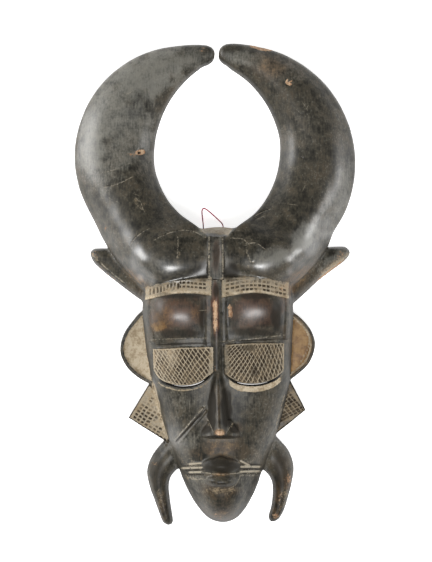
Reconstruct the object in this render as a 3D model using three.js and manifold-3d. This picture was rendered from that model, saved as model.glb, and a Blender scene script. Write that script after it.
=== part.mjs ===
// A carved wooden face mask with two crescent horns, lying on its back with the face up.
// Millimetres. X runs across the face, Y from the chin to the horns and Z out of the face.
// The mask rests on the plane z = 0. Left and right are as seen from the front.

import * as THREE from "three";
import { mergeVertices } from "three/addons/utils/BufferGeometryUtils.js";
import Module from "manifold-3d";

const wasm = await Module();
wasm.setup();

// Wood and thread
const WOOD = { color: "#35302a", roughness: 0.45, metalness: 0 };
const THREAD = { color: "#7a1830", roughness: 0.9, metalness: 0 };

// The head, as widths and heights at a few places between the crown of the head and the jaw.
// full is how square the section is: a high value gives a flat front with steep sides.
const HEAD = [
  { y: 17, left: -44.5, right: 50.5, crown: 56, full: 4.6 },
  { y: 3, left: -52.5, right: 58, crown: 57.5, full: 5 },
  { y: -12.5, left: -57.5, right: 62, crown: 57.5, full: 5.4 },
  { y: -48.5, left: -55, right: 61, crown: 55, full: 4.6 },
  { y: -76, left: -50, right: 59.5, crown: 51, full: 3.4 },
  { y: -107.5, left: -41.5, right: 52, crown: 51, full: 2.8 },
  { y: -139.5, left: -31, right: 41, crown: 53, full: 2.5 },
  { y: -151, left: -26.5, right: 36, crown: 53, full: 2.4 },
];
const HEAD_TOP = 46.5;
const CHIN_END = -189.6;
const RIM_HEIGHT = 18;
const BACK_BEVEL = 1.5;

// The hollow for the wearer's face
const WALL_SIDE = 10;
const WALL_FRONT = 11;
const HOLLOW_TOP = 22;
const HOLLOW_END = -174;
const HOLLOW_RIM = 5;
const HOLLOW_FULL = 3;
const CUT_BELOW = 6;

// Horns: each edge runs from the blunt tip to the root, where it ends on the brow.
// crown, inner and outer are the heights of the middle and of the two edges along the horn.
const HORN_HEIGHTS = [
  { at: 0, crown: 9, inner: 6, outer: 6 },
  { at: 0.08, crown: 16, inner: 7, outer: 7 },
  { at: 0.3, crown: 23, inner: 8, outer: 7 },
  { at: 0.55, crown: 29, inner: 10, outer: 8 },
  { at: 0.75, crown: 43, inner: 22, outer: 14 },
  { at: 0.88, crown: 62, inner: 53, outer: 26 },
  { at: 0.96, crown: 65, inner: 60, outer: 34 },
  { at: 1, crown: 60, inner: 59, outer: 35 },
];
const HORNS = [
  {
    outer: [
      [-0.2, 184.5], [-1.2, 187.6], [-5, 190], [-13, 190.9],
      { centre: [-23.5, 102], radius: 88.1, from: 102, to: 200 },
      [-93.5, 45.5], [-84.5, 29], [-74.5, 16], [-66, 7], [-56, -4],
    ],
    inner: [
      [-0.6, 180.5], [-2.4, 177.6], [-6.5, 175],
      { centre: [39, 101], radius: 87.7, from: 124, to: 172 },
      { centre: [21.5, 106.5], radius: 70.8, from: 190, to: 226 },
      [-13, 44.5], [-6.5, 38.5], [-2, 32], [-1, 22], [-1, 5],
    ],
  },
  {
    outer: [
      [3, 184.5], [4, 188.2], [7.5, 191], [13, 191.8],
      { centre: [17, 96.3], radius: 94.7, from: 80, to: -36 },
      [88.5, 28.5], [77.5, 14.5], [67, 4], [58.5, -3],
    ],
    inner: [
      [3, 180.5], [5, 177.4], [9.5, 174.5],
      { centre: [-29, 101.5], radius: 81.8, from: 60, to: 9 },
      { centre: [-25, 108.5], radius: 77, from: -9, to: -43 },
      [16.5, 44.5], [9.5, 38.5], [4, 32], [3, 22], [3, 5],
    ],
  },
];
const HORN_RIDGE = 0.44;
const TIP_SPACING = 1.5;

// Spikes at the sides of the head
const SPIKE_HEIGHTS = [
  { at: 0, crown: 7, inner: 4, outer: 4 },
  { at: 0.15, crown: 11, inner: 6, outer: 6 },
  { at: 1, crown: 25, inner: 14, outer: 14 },
];
const SPIKES = [
  {
    inner: [[-99.4, 26], [-97, 28.3], [-92, 28.8], [-80, 27.5], [-56, 14]],
    outer: [[-99.4, 23], [-97, 18], [-77, 1], [-56, -14], [-48, -18]],
  },
  {
    inner: [[107.6, 27], [104.5, 29.8], [99, 30.3], [86, 28.5], [62, 14]],
    outer: [[107.6, 24], [104.5, 20], [84, 4.5], [62, -15], [54, -19]],
  },
];

// Legs that curve down beside the jaw
const LEG_HEIGHTS = [
  { at: 0, crown: 6, inner: 4, outer: 4 },
  { at: 0.1, crown: 10, inner: 4.5, outer: 4.5 },
  { at: 0.5, crown: 16, inner: 6, outer: 6 },
  { at: 1, crown: 20, inner: 8, outer: 8 },
];
const LEGS = [
  {
    outer: [[-37.6, -192.2], [-41.3, -190], [-44, -184], [-48.2, -172.5], [-52.2, -160.5],
      [-54, -148], [-49.7, -136], [-42, -126], [-33, -116]],
    inner: [[-35, -192], [-33.6, -188.8], [-34.3, -183], [-36, -171], [-37, -160.5],
      [-35.3, -153.5], [-28, -145], [-18, -134], [-14, -126]],
  },
  {
    outer: [[46, -189.6], [50.4, -187.6], [54.5, -181.5], [58.4, -169.5], [61.4, -157],
      [62.5, -144.5], [58.4, -132.3], [50.2, -122.6], [41, -112]],
    inner: [[43.8, -188.7], [42.9, -185.5], [45, -177], [46.2, -165], [45.7, -158],
      [42.8, -152], [37.5, -147], [28, -138], [22, -128]],
  },
];

// Flat flanges: half-round ones beside the eyes, square ones set on a corner beside the cheeks
const FLANGE_HEIGHT = 13;
const FLANGE_BEVEL = 1.2;
const EARS = [
  [[-44, -18], [-57, -20.5], [-66.3, -30], [-73.2, -41], [-75.2, -53.3], [-70.2, -65], [-61, -73.8],
    [-49, -80], [-40, -82]],
  [[48, -18], [61, -21.5], [69.8, -28], [77.2, -38], [79.5, -48.5], [75, -62], [66, -71],
    [56, -77.5], [46, -80]],
];
const EAR_RIM = 3.2;
const EAR_RECESS = 2;
const SQUARES = [
  [[-52.3, -78.5], [-68.7, -105.7], [-38, -125.2], [-26, -104]],
  [[60, -76.5], [72, -99.5], [46, -120.5], [34, -98]],
];

// Brow bands, forehead pads, raised frames and eyelids, left then right.
// top and bottom are the heights on the page of each patch's upper and lower edges.
const BROWS = [
  { top: [[-54, -2.5], [-26.5, 3], [-3, 5.5]], bottom: [[-56, -12], [-28, -6.5], [-3, -8]] },
  { top: [[5.5, 5.5], [30.5, 5], [57, 1]], bottom: [[5.5, -9.5], [30.5, -6], [60, -11]] },
];
const BROW_RISE = 2.4;
const PADS = [
  { top: [[-50.5, -9], [-28, -5], [-7.5, -6]], bottom: [[-50.5, -42.8], [-28, -42], [-7.5, -41]] },
  { top: [[8, -8], [30, -5], [54.5, -8]], bottom: [[8, -42.6], [30, -40], [54.5, -38.2]] },
];
const PAD_RISE = 6;
const LIDS = [
  {
    top: [[-48, -50], [-26, -48.6], [-1.5, -48]],
    bottom: [[-48, -67], [-42.5, -73.6], [-34, -76.6], [-24, -77.6], [-12, -75], [-1.5, -67.5]],
  },
  {
    top: [[7.2, -46.4], [30, -45], [53.5, -45.4]],
    bottom: [[7.2, -68], [16, -74], [26, -76], [36, -75.6], [46, -72.6], [53.5, -67]],
  },
];
const LID_TOP_RISE = 2;
const LID_RISE = 7.5;
const SLIT_WIDTH = 1.8;
const SLIT_ENDS = [0.2, 0.86];
const SLIT_HEIGHTS = { from: 18, to: 62 };
const FRAMES = [
  [[-55, -9], [-51, -9], [-50.5, -44], [-47, -44]],
  [[-7.5, -7], [-3, -7], [-7, -49], [-2.5, -49]],
  [[5.5, -7], [8.5, -7], [6, -48], [8.8, -48]],
  [[55, -8], [59.5, -8], [54, -42], [58.5, -42]],
];
const FRAME_RISE = 1.8;

// The centre line of the face leans a little to the right on its way down
const RIDGE = { top: 4, bottom: -67, left: -2.6, right: 4.6, lean: 0.4, rise: 4 };
const CREST = { top: 37.5, bottom: 3.5, left: -5.2, right: 6.8, base: 64, rim: 2.2 };
const CREST_GROOVE = { half: 0.55, deep: 1.6 };
const CREST_FALL = 11;
const NOSE = [
  { y: -64, middle: 2.3, half: 2.2, rise: 1.5 },
  { y: -77, middle: 2.5, half: 4.4, rise: 5.5 },
  { y: -92, middle: 2.8, half: 6.8, rise: 11.5 },
  { y: -104, middle: 3.2, half: 7.6, rise: 17 },
  { y: -111, middle: 3.5, half: 7.8, rise: 21 },
  { y: -115.5, middle: 3.6, half: 7, rise: 19.5 },
];
const NOSTRILS = { top: -104, bottom: -117, narrow: 8, wide: 15, middle: 4.2, rise: 12 };

// Mouth, and the raised scars beside it and across one cheek
const MOUTH_MIDDLE = 4.4;
const LIPS = [
  { top: -133.5, bottom: -145, half: 14.5, rise: 9, peak: 3 },
  { top: -147, bottom: -157, half: 13, rise: 8, peak: 0 },
];
const MOUTH_BASE = { top: -131, bottom: -160, half: 17, rise: 3.5 };
const SCAR_RISE = 1.4;
const SCAR_EDGE_RISE = 0.5;
const SCAR_WIDTH = 2;
const SCARS = [
  [[-9.5, -95.5], [-30.5, -121.5]],
  [[-6.8, -97.6], [-27.8, -123.4]],
  [[-24, -138.8], [-10, -138.4]],
  [[-23.5, -142.6], [-10.5, -142.4]],
  [[-23, -146.6], [-10.5, -146.8]],
  [[18.5, -137.6], [31, -140.2]],
  [[19.5, -142.4], [33, -143]],
  [[19.5, -147.2], [33, -147.4]],
];

// How far each raised form reaches down into the head
const SUNK = { face: 13, lid: 14, frame: 6, ridge: 10, crest: 12, nose: 30, nostrils: 16, lip: 10,
  mouth: 8, scar: 5 };

// The hanging thread, through two holes in the top of the head, with its knot in the hollow
const THREAD_SIZE = 1;
const THREAD_SIDES = 8;
const HOLE_SIZE = 2.8;
const HOLE_HEIGHT = 4.4;
const HOLES = [-9.3, 6.6];
const HOLE_RUN = [10, 60];
const THREAD_PATH = [
  [-3.1, 13.4, 1.4], [-4.8, 14.1, 1.6], [-7.3, 16, 2.7], [-8.9, 19, 4], [-9.3, 23, 4.4],
  [-9.3, 32, 4.4], [-9.3, 41, 4.4], [-9.3, 46, 4.1], [-9.6, 49.5, 2.2], [-10, 53, 0.8],
  [-10.4, 57, 0.6], [-10.2, 59.6, 0.6], [-8.9, 60.9, 0.6], [-6.9, 60, 0.6], [-3.9, 57.7, 0.6],
  [-0.1, 54.3, 0.6], [3.2, 51.2, 0.8], [5.5, 48.8, 2.2], [6.5, 46, 4.1], [6.6, 41, 4.4],
  [6.6, 32, 4.4], [6.6, 23, 4.4], [6.2, 19, 4], [4.8, 16, 2.7], [2.7, 14.1, 1.6],
  [1.2, 13.4, 1.4],
];
const KNOT = { centre: [-0.95, 13.2, 1.45], size: [3.5, 2.6, 2.6] };

const mix = (a, b, t) => a + (b - a) * t;
const clamp = (t) => Math.min(1, Math.max(0, t));

/** A smooth value between rows that are sorted by key, by a cubic through them. */
function between(rows, key, wanted, at) {
  const order = rows[0][key] < rows[rows.length - 1][key] ? rows : [...rows].reverse();
  const last = order.length - 1;
  if (at <= order[0][key]) return order[0][wanted];
  if (at >= order[last][key]) return order[last][wanted];
  let i = 0;
  while (at > order[i + 1][key]) i += 1;
  const slope = (j) => {
    const a = order[Math.max(0, j - 1)];
    const b = order[Math.min(last, j + 1)];
    return (b[wanted] - a[wanted]) / (b[key] - a[key]);
  };
  const step = order[i + 1][key] - order[i][key];
  const t = (at - order[i][key]) / step;
  const start = order[i][wanted];
  const end = order[i + 1][wanted];
  const a = slope(i) * step - (end - start);
  const b = -slope(i + 1) * step + (end - start);
  return mix(start, end, t) + t * (1 - t) * (a * (1 - t) + b * t);
}

/** The height of a patch's edge at x, from the edge's few points. */
const edgeAt = (points, x) =>
  between(points.map((p) => ({ x: p[0], y: p[1] })), "x", "y", x);

/** A smooth curve through points and arcs. */
function edgeCurve(pieces) {
  const points = [];
  for (const piece of pieces) {
    if (Array.isArray(piece)) {
      points.push(new THREE.Vector3(piece[0], piece[1], 0));
      continue;
    }
    const turns = Math.max(3, Math.ceil(Math.abs(piece.to - piece.from) / 12));
    for (let i = 0; i <= turns; i += 1) {
      const angle = THREE.MathUtils.degToRad(mix(piece.from, piece.to, i / turns));
      const x = piece.centre[0] + piece.radius * Math.cos(angle);
      points.push(new THREE.Vector3(x, piece.centre[1] + piece.radius * Math.sin(angle), 0));
    }
  }
  return new THREE.CatmullRomCurve3(points, false, "centripetal");
}

/** The head's left and right edges, crown height and squareness at y. */
function headAt(y) {
  const [upper, jaw] = [HEAD[0], HEAD[HEAD.length - 1]];
  const inside = Math.min(upper.y, Math.max(jaw.y, y));
  const left = between(HEAD, "y", "left", inside);
  const right = between(HEAD, "y", "right", inside);
  const row = { middle: (left + right) / 2, half: (right - left) / 2 };
  row.crown = between(HEAD, "y", "crown", inside);
  row.full = between(HEAD, "y", "full", inside);
  if (y > upper.y) {
    const t = clamp((y - upper.y) / (HEAD_TOP - upper.y));
    row.half *= Math.sqrt(1 - t ** 1.2);
    row.crown *= Math.sqrt(1 - t ** 3);
  }
  if (y < jaw.y) {
    const t = clamp((jaw.y - y) / (jaw.y - CHIN_END));
    row.half *= Math.sqrt(1 - t ** 1.1);
    row.crown *= Math.sqrt(1 - t ** 2.5);
    row.middle += 1.4 * t;
  }
  return row;
}

/** The height of a domed section at s, from -1 to 1 across it. */
function dome(s, rim, crown, full) {
  return rim + (crown - rim) * (1 - Math.abs(s) ** full) ** (2.2 / full);
}

/** The height of the plain head, before anything is carved on it. */
function headHeight(x, y) {
  const row = headAt(y);
  const s = THREE.MathUtils.clamp((x - row.middle) / row.half, -1, 1);
  return dome(s, Math.min(RIM_HEIGHT, row.crown * 0.6), row.crown, row.full);
}

/** A closed body through rings that all have the same number of points. */
function loft(rings) {
  const around = rings[0].length;
  const places = [];
  const faces = [];
  for (const ring of rings) for (const p of ring) places.push(...p);
  for (let i = 0; i + 1 < rings.length; i += 1) {
    for (let j = 0; j < around; j += 1) {
      const [a, b] = [i * around + j, i * around + ((j + 1) % around)];
      faces.push(a, b, b + around, a, b + around, a + around);
    }
  }
  for (const [ring, turn] of [[0, 1], [rings.length - 1, 0]]) {
    const middle = [0, 1, 2].map((k) => rings[ring].reduce((sum, p) => sum + p[k], 0) / around);
    const hub = places.length / 3;
    places.push(...middle);
    for (let j = 0; j < around; j += 1) {
      const [a, b] = [ring * around + j, ring * around + ((j + 1) % around)];
      faces.push(hub, ...(turn ? [b, a] : [a, b]));
    }
  }
  const geometry = new THREE.BufferGeometry();
  geometry.setAttribute("position", new THREE.Float32BufferAttribute(places, 3));
  geometry.setIndex(faces);
  return geometry;
}

/** A ring from a to b over the front and back along the resting plane. */
function section(a, b, heightAt, across, low = 0) {
  const ring = [];
  const width = Math.hypot(b.x - a.x, b.y - a.y);
  const inset = Math.min(BACK_BEVEL / width, 0.3);
  const place = (s) => [mix(a.x, b.x, s), mix(a.y, b.y, s)];
  for (let i = 0; i <= across; i += 1) {
    const s = 0.5 - 0.5 * Math.cos((Math.PI * i) / across);
    ring.push([...place(s), heightAt(s)]);
  }
  ring.push([...place(1), low + BACK_BEVEL], [...place(1 - inset), low]);
  ring.push([...place(inset), low], [...place(0), low + BACK_BEVEL]);
  return ring;
}

/** A horn-like body between an inner and an outer edge, with its heights along it. */
function blade(shape, heights, steps, across, ridge = 0.5) {
  const inner = edgeCurve(shape.inner);
  const outer = edgeCurve(shape.outer);
  const power = Math.log(0.5) / Math.log(ridge);
  const rings = Array.from({ length: steps + 1 }, (_, i) => {
    const at = (i / steps) ** TIP_SPACING;
    const [crown, low, high] = ["crown", "inner", "outer"].map((k) => between(heights, "at", k, at));
    const heightAt = (s) => {
      const swell = (1 - Math.abs(2 * s ** power - 1) ** 2.4) ** 0.7;
      return mix(mix(low, high, s), crown, swell);
    };
    return section(inner.getPointAt(at), outer.getPointAt(at), heightAt, across);
  });
  return loft(rings);
}

/** A body whose front is a grid of points, with a copy of the grid below it as its back. */
function patch(columns, rows, place, heightAt, depth) {
  const grid = [];
  for (let j = 0; j <= rows; j += 1) {
    for (let i = 0; i <= columns; i += 1) {
      const [u, v] = [i / columns, j / rows];
      const [x, y] = place(u, v);
      grid.push([x, y, heightAt(x, y, u, v)]);
    }
  }
  const count = grid.length;
  const places = [...grid, ...grid.map(([x, y, z]) => [x, y, z - depth])].flat();
  const faces = [];
  const quad = (a, b, c, d) => faces.push(a, b, c, a, c, d);
  const at = (i, j) => j * (columns + 1) + i;
  for (let j = 0; j < rows; j += 1) {
    for (let i = 0; i < columns; i += 1) {
      const corners = [at(i, j), at(i, j + 1), at(i + 1, j + 1), at(i + 1, j)];
      quad(...corners);
      quad(...corners.map((c) => c + count).reverse());
    }
  }
  const wall = (a, b) => quad(b, a, a + count, b + count);
  for (let i = 0; i < columns; i += 1) {
    wall(at(i + 1, 0), at(i, 0));
    wall(at(i, rows), at(i + 1, rows));
  }
  for (let j = 0; j < rows; j += 1) {
    wall(at(0, j), at(0, j + 1));
    wall(at(columns, j + 1), at(columns, j));
  }
  const geometry = new THREE.BufferGeometry();
  geometry.setAttribute("position", new THREE.Float32BufferAttribute(places, 3));
  geometry.setIndex(faces);
  return geometry;
}

/** Turns a closed geometry into a solid with its faces pointing out. */
function solid(geometry) {
  const bare = geometry.clone();
  bare.deleteAttribute("normal");
  bare.deleteAttribute("uv");
  const merged = mergeVertices(bare, 1e-4);
  const vertProperties = new Float32Array(merged.attributes.position.array);
  const triVerts = new Uint32Array(merged.index.array);
  const made = new wasm.Manifold(new wasm.Mesh({ numProp: 3, vertProperties, triVerts }));
  if (made.volume() > 0) return made;
  const turned = new Uint32Array(triVerts).reverse();
  return new wasm.Manifold(new wasm.Mesh({ numProp: 3, vertProperties, triVerts: turned }));
}

/** A three.js geometry from a solid. */
function geometryOf(body) {
  const mesh = body.getMesh();
  const geometry = new THREE.BufferGeometry();
  geometry.setAttribute("position", new THREE.BufferAttribute(mesh.vertProperties, 3));
  geometry.setIndex(new THREE.BufferAttribute(mesh.triVerts, 1));
  const flat = geometry.toNonIndexed();
  flat.computeVertexNormals();
  return flat;
}

/** A rounded outline moved inwards by a distance. */
function inset(points, distance) {
  const signed = THREE.ShapeUtils.area(points);
  return points.map((point, i) => {
    const before = points[(i + points.length - 1) % points.length];
    const after = points[(i + 1) % points.length];
    const along = after.clone().sub(before).normalize();
    const side = new THREE.Vector2(-along.y, along.x).multiplyScalar(Math.sign(signed));
    return point.clone().addScaledVector(side, distance);
  });
}

/** A flat plate with a small bevel around its front and its back. */
function plate(outline, low, high, bevel) {
  const shape = new THREE.Shape(bevel > 0 ? inset(outline, bevel) : outline);
  const geometry = new THREE.ExtrudeGeometry(shape, {
    depth: high - low - 2 * bevel,
    bevelEnabled: bevel > 0,
    bevelThickness: bevel,
    bevelSize: bevel,
    bevelSegments: 1,
    curveSegments: 1,
  });
  return geometry.translate(0, 0, low + bevel);
}

/** A tube with flat ends along points. */
function tube(points, size, sides, steps) {
  const path = new THREE.CatmullRomCurve3(points.map((p) => new THREE.Vector3(...p)));
  const ring = [];
  for (let i = 0; i < sides; i += 1) {
    const angle = (2 * Math.PI * i) / sides;
    ring.push(new THREE.Vector2((size / 2) * Math.cos(angle), (size / 2) * Math.sin(angle)));
  }
  const settings = { steps, extrudePath: path, bevelEnabled: false };
  return new THREE.ExtrudeGeometry(new THREE.Shape(ring), settings);
}

/** The plain head from the crown to the chin. */
function head() {
  const rings = [];
  const rows = 26;
  for (let i = 0; i <= rows; i += 1) {
    const turned = 0.5 - 0.5 * Math.cos((Math.PI * (i + 0.35)) / (rows + 0.7));
    const y = mix(HEAD_TOP, CHIN_END, turned);
    const row = headAt(y);
    const left = { x: row.middle - row.half, y };
    const right = { x: row.middle + row.half, y };
    rings.push(section(left, right, (s) => headHeight(mix(left.x, right.x, s), y), 14));
  }
  return solid(loft(rings));
}

/** The space behind the face, as a body to cut away. */
function hollow() {
  const rings = [];
  const rows = 14;
  for (let i = 0; i <= rows; i += 1) {
    const t = -0.985 * Math.cos((Math.PI * i) / rows);
    const y = mix(HOLLOW_TOP, HOLLOW_END, (t + 1) / 2);
    const row = headAt(y);
    const round = (1 - Math.abs(t) ** 6) ** 0.5;
    const half = (row.half - WALL_SIDE) * mix(0.6, 1, round);
    const crown = (row.crown - WALL_FRONT) * mix(0.5, 1, round);
    const full = Math.min(HOLLOW_FULL, row.full);
    const heightAt = (s) => dome(2 * s - 1, HOLLOW_RIM, crown, full);
    const left = { x: row.middle - half, y };
    rings.push(section(left, { x: row.middle + half, y }, heightAt, 12, -CUT_BELOW));
  }
  return solid(loft(rings));
}

/** A patch on the face between an upper and a lower edge. */
function facePatch(shape, columns, rows, rise, depth = SUNK.face) {
  const [left, right] = [shape.top[0][0], shape.top[shape.top.length - 1][0]];
  const place = (u, v) => {
    const x = mix(left, right, u);
    return [x, mix(edgeAt(shape.top, x), edgeAt(shape.bottom, x), v)];
  };
  const heightAt = (x, y, u, v) => headHeight(x, y) + rise(u, v);
  return solid(patch(columns, rows, place, heightAt, depth));
}

/** A flat raised band over an eye. */
function brow(shape) {
  return facePatch(shape, 10, 3, () => BROW_RISE);
}

/** A rounded pad on the forehead. */
function pad(shape) {
  const rise = (u, v) => {
    const across = (1 - Math.abs(2 * u - 1) ** 4) ** 0.6;
    const along = Math.sin(Math.PI * (0.06 + 0.88 * v)) ** 0.8;
    return PAD_RISE * across * along;
  };
  return facePatch(shape, 10, 6, rise);
}

/** A half-closed lid: its height grows downwards to the edge over the eye slit. */
function lid(shape) {
  const rise = (u, v) => {
    const across = (1 - Math.abs(2 * u - 1) ** 3.5) ** 0.6;
    return LID_TOP_RISE + (LID_RISE - LID_TOP_RISE) * across * (1 - (1 - v) ** 2.2);
  };
  return facePatch(shape, 12, 5, rise, SUNK.lid);
}

/** The slit under a lid, as a body to cut away. */
function slit(shape) {
  const [left, right] = [shape.top[0][0], shape.top[shape.top.length - 1][0]];
  const place = (u, v) => {
    const x = mix(left, right, mix(...SLIT_ENDS, u));
    const ends = (1 - Math.abs(2 * u - 1) ** 3) ** 0.5;
    return [x, edgeAt(shape.bottom, x) - SLIT_WIDTH * (0.5 + (v - 0.5) * mix(0.3, 1, ends))];
  };
  const depth = SLIT_HEIGHTS.to - SLIT_HEIGHTS.from;
  return solid(patch(12, 1, place, () => SLIT_HEIGHTS.to, depth));
}

/** A raised strip between four corners: upper left, upper right, lower left, lower right. */
function frameStrip([a, b, c, d]) {
  const place = (u, v) => [
    mix(mix(a[0], b[0], u), mix(c[0], d[0], u), v),
    mix(mix(a[1], b[1], u), mix(c[1], d[1], u), v),
  ];
  return solid(patch(2, 3, place, (x, y) => headHeight(x, y) + FRAME_RISE, SUNK.frame));
}

/** The low ridge between the eyes. */
function centreRidge() {
  const place = (u, v) => [
    mix(RIDGE.left, RIDGE.right, u) + RIDGE.lean * v,
    mix(RIDGE.top, RIDGE.bottom, v),
  ];
  const heightAt = (x, y, u) => headHeight(x, y) + RIDGE.rise * (0.55 + 0.45 * Math.sin(Math.PI * u));
  return solid(patch(4, 6, place, heightAt, SUNK.ridge));
}

/** The band between the two horn roots: two raised rims and a sunken middle. */
function crestBand() {
  const place = (u, v) => [mix(CREST.left, CREST.right, u), mix(CREST.top, CREST.bottom, v)];
  const heightAt = (x, y, u, v) => {
    const fall = CREST_FALL * (1 - v) ** 3;
    const middle = Math.abs(2 * u - 1) < CREST_GROOVE.half ? CREST_GROOVE.deep : 0;
    return CREST.base + CREST.rim - middle - fall;
  };
  return solid(patch(8, 6, place, heightAt, SUNK.crest));
}

/** The long wedge of the nose. */
function nose() {
  const [first, last] = [NOSE[0], NOSE[NOSE.length - 1]];
  const place = (u, v) => {
    const y = mix(first.y, last.y, v);
    const half = between(NOSE, "y", "half", y);
    return [between(NOSE, "y", "middle", y) + half * (2 * u - 1), y];
  };
  const heightAt = (x, y, u) => {
    const side = Math.abs(2 * u - 1);
    return headHeight(x, y) + between(NOSE, "y", "rise", y) * (1 - side ** 1.5) ** 0.8;
  };
  return solid(patch(6, 10, place, heightAt, SUNK.nose));
}

/** The wings of the nose. */
function nostrils() {
  const place = (u, v) => {
    const half = mix(NOSTRILS.narrow, NOSTRILS.wide, clamp(v * 1.4) ** 0.8);
    return [NOSTRILS.middle + half * (2 * u - 1), mix(NOSTRILS.top, NOSTRILS.bottom, v)];
  };
  const heightAt = (x, y, u, v) => {
    const side = Math.abs(2 * u - 1);
    return headHeight(x, y) + NOSTRILS.rise * (1 - side ** 3) ** 0.7 * (0.55 + 0.45 * v);
  };
  return solid(patch(8, 3, place, heightAt, SUNK.nostrils));
}

/** A lip: its edge bows, and the upper one has a small peak in the middle. */
function lip(shape) {
  const place = (u, v) => {
    const bow = Math.sqrt(1 - 0.94 * (2 * u - 1) ** 2);
    const middle = (shape.top + shape.bottom) / 2;
    const height = (v < 0.5 ? shape.top - middle : middle - shape.bottom) * Math.abs(2 * v - 1);
    const peak = v < 0.5 ? shape.peak * Math.max(0, 1 - Math.abs(2 * u - 1) * 3) : 0;
    const side = v < 0.5 ? 1 : -1;
    return [MOUTH_MIDDLE + shape.half * (2 * u - 1), middle + side * height * bow + peak * (1 - v)];
  };
  const heightAt = (x, y, u, v) => {
    const across = (1 - 0.9 * Math.abs(2 * u - 1) ** 2.5) ** 0.8;
    return headHeight(x, y) + shape.rise * across * (0.6 + 0.4 * Math.sin(Math.PI * v));
  };
  return solid(patch(10, 4, place, heightAt, SUNK.lip));
}

/** The low swelling that the lips stand on. */
function mouthBase() {
  const place = (u, v) => {
    const across = 2 * u - 1;
    const bow = Math.sqrt(1 - 0.9 * across ** 2);
    const middle = (MOUTH_BASE.top + MOUTH_BASE.bottom) / 2;
    const half = (MOUTH_BASE.top - MOUTH_BASE.bottom) / 2;
    return [MOUTH_MIDDLE + MOUTH_BASE.half * across, middle + half * bow * (1 - 2 * v)];
  };
  const heightAt = (x, y, u, v) => {
    const swell = (1 - 0.95 * (2 * u - 1) ** 2) * (1 - 0.95 * (2 * v - 1) ** 2);
    return headHeight(x, y) + MOUTH_BASE.rise * swell;
  };
  return solid(patch(8, 4, place, heightAt, SUNK.mouth));
}

/** A raised scar from one point to another. */
function scar([start, end]) {
  const along = new THREE.Vector2(end[0] - start[0], end[1] - start[1]);
  const side = new THREE.Vector2(-along.y, along.x).normalize().multiplyScalar(SCAR_WIDTH / 2);
  const place = (u, v) => {
    const across = 2 * u - 1;
    return [mix(start[0], end[0], v) + side.x * across, mix(start[1], end[1], v) + side.y * across];
  };
  const heightAt = (x, y, u) => headHeight(x, y) + (u === 0.5 ? SCAR_RISE : SCAR_EDGE_RISE);
  return solid(patch(2, 3, place, heightAt, SUNK.scar));
}

/** A half-round flange with a raised rim around a sunken panel. */
function ear(points) {
  const curve = edgeCurve(points).getSpacedPoints(20).map((p) => new THREE.Vector2(p.x, p.y));
  const body = solid(plate(curve, 0, FLANGE_HEIGHT, FLANGE_BEVEL));
  const panel = plate(inset(curve, EAR_RIM), FLANGE_HEIGHT - EAR_RECESS, FLANGE_HEIGHT * 2, 0);
  return body.subtract(solid(panel));
}

/** A square flange with bevelled edges. */
function square(points) {
  const outline = points.map((p) => new THREE.Vector2(...p));
  const middle = outline.reduce((sum, p) => sum.add(p), new THREE.Vector2()).multiplyScalar(0.25);
  const shrunk = outline.map((p) => middle.clone().lerp(p, 0.97));
  const core = plate(outline, FLANGE_BEVEL, FLANGE_HEIGHT - FLANGE_BEVEL, 0);
  return solid(core).add(solid(plate(shrunk, 0, FLANGE_HEIGHT, 0)));
}

/** A drilled hole for the thread, along Y. */
function threadHole(x) {
  const drill = new THREE.CylinderGeometry(HOLE_SIZE / 2, HOLE_SIZE / 2, HOLE_RUN[1] - HOLE_RUN[0], 10);
  return solid(drill.translate(x, (HOLE_RUN[0] + HOLE_RUN[1]) / 2, HOLE_HEIGHT));
}

/** The whole carving: the head with all that is raised on it, less what is cut out of it. */
function carvedMask() {
  const raised = [
    ...HORNS.map((shape) => solid(blade(shape, HORN_HEIGHTS, 30, 8, HORN_RIDGE))),
    ...SPIKES.map((shape) => solid(blade(shape, SPIKE_HEIGHTS, 6, 5))),
    ...LEGS.map((shape) => solid(blade(shape, LEG_HEIGHTS, 14, 5))),
    ...EARS.map(ear),
    ...SQUARES.map(square),
    ...BROWS.map(brow),
    ...PADS.map(pad),
    ...LIDS.map(lid),
    ...FRAMES.map(frameStrip),
    ...LIPS.map(lip),
    ...SCARS.map(scar),
    centreRidge(),
    crestBand(),
    nose(),
    nostrils(),
    mouthBase(),
  ];
  const whole = raised.reduce((body, piece) => body.add(piece), head());
  const cuts = [hollow(), ...LIDS.map(slit), ...HOLES.map(threadHole)];
  return cuts.reduce((body, cut) => body.subtract(cut), whole);
}

/** A small rounded knot. */
function knot() {
  const ball = new THREE.SphereGeometry(0.5, 12, 8);
  return ball.scale(...KNOT.size).translate(...KNOT.centre);
}

/** A mesh with its name and finish. */
function named(name, geometry, finish) {
  const mesh = new THREE.Mesh(geometry, new THREE.MeshStandardMaterial(finish));
  mesh.name = name;
  return mesh;
}

const model = new THREE.Group();
model.add(named("mask", geometryOf(carvedMask()), WOOD));
model.add(named("hanging_loop", tube(THREAD_PATH, THREAD_SIZE, THREAD_SIDES, 44), THREAD));
model.add(named("thread_knot", knot(), THREAD));

export default model;
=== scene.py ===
"""Dresses the carved face mask: fine carving and worn finish of the wood, and the hanging thread.

The carving is worked out in millimetres, in the same frame as the solids: X runs across the
face, Y from the chin to the horns and Z out of the face. Everything is made in metres.
"""

import math

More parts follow.
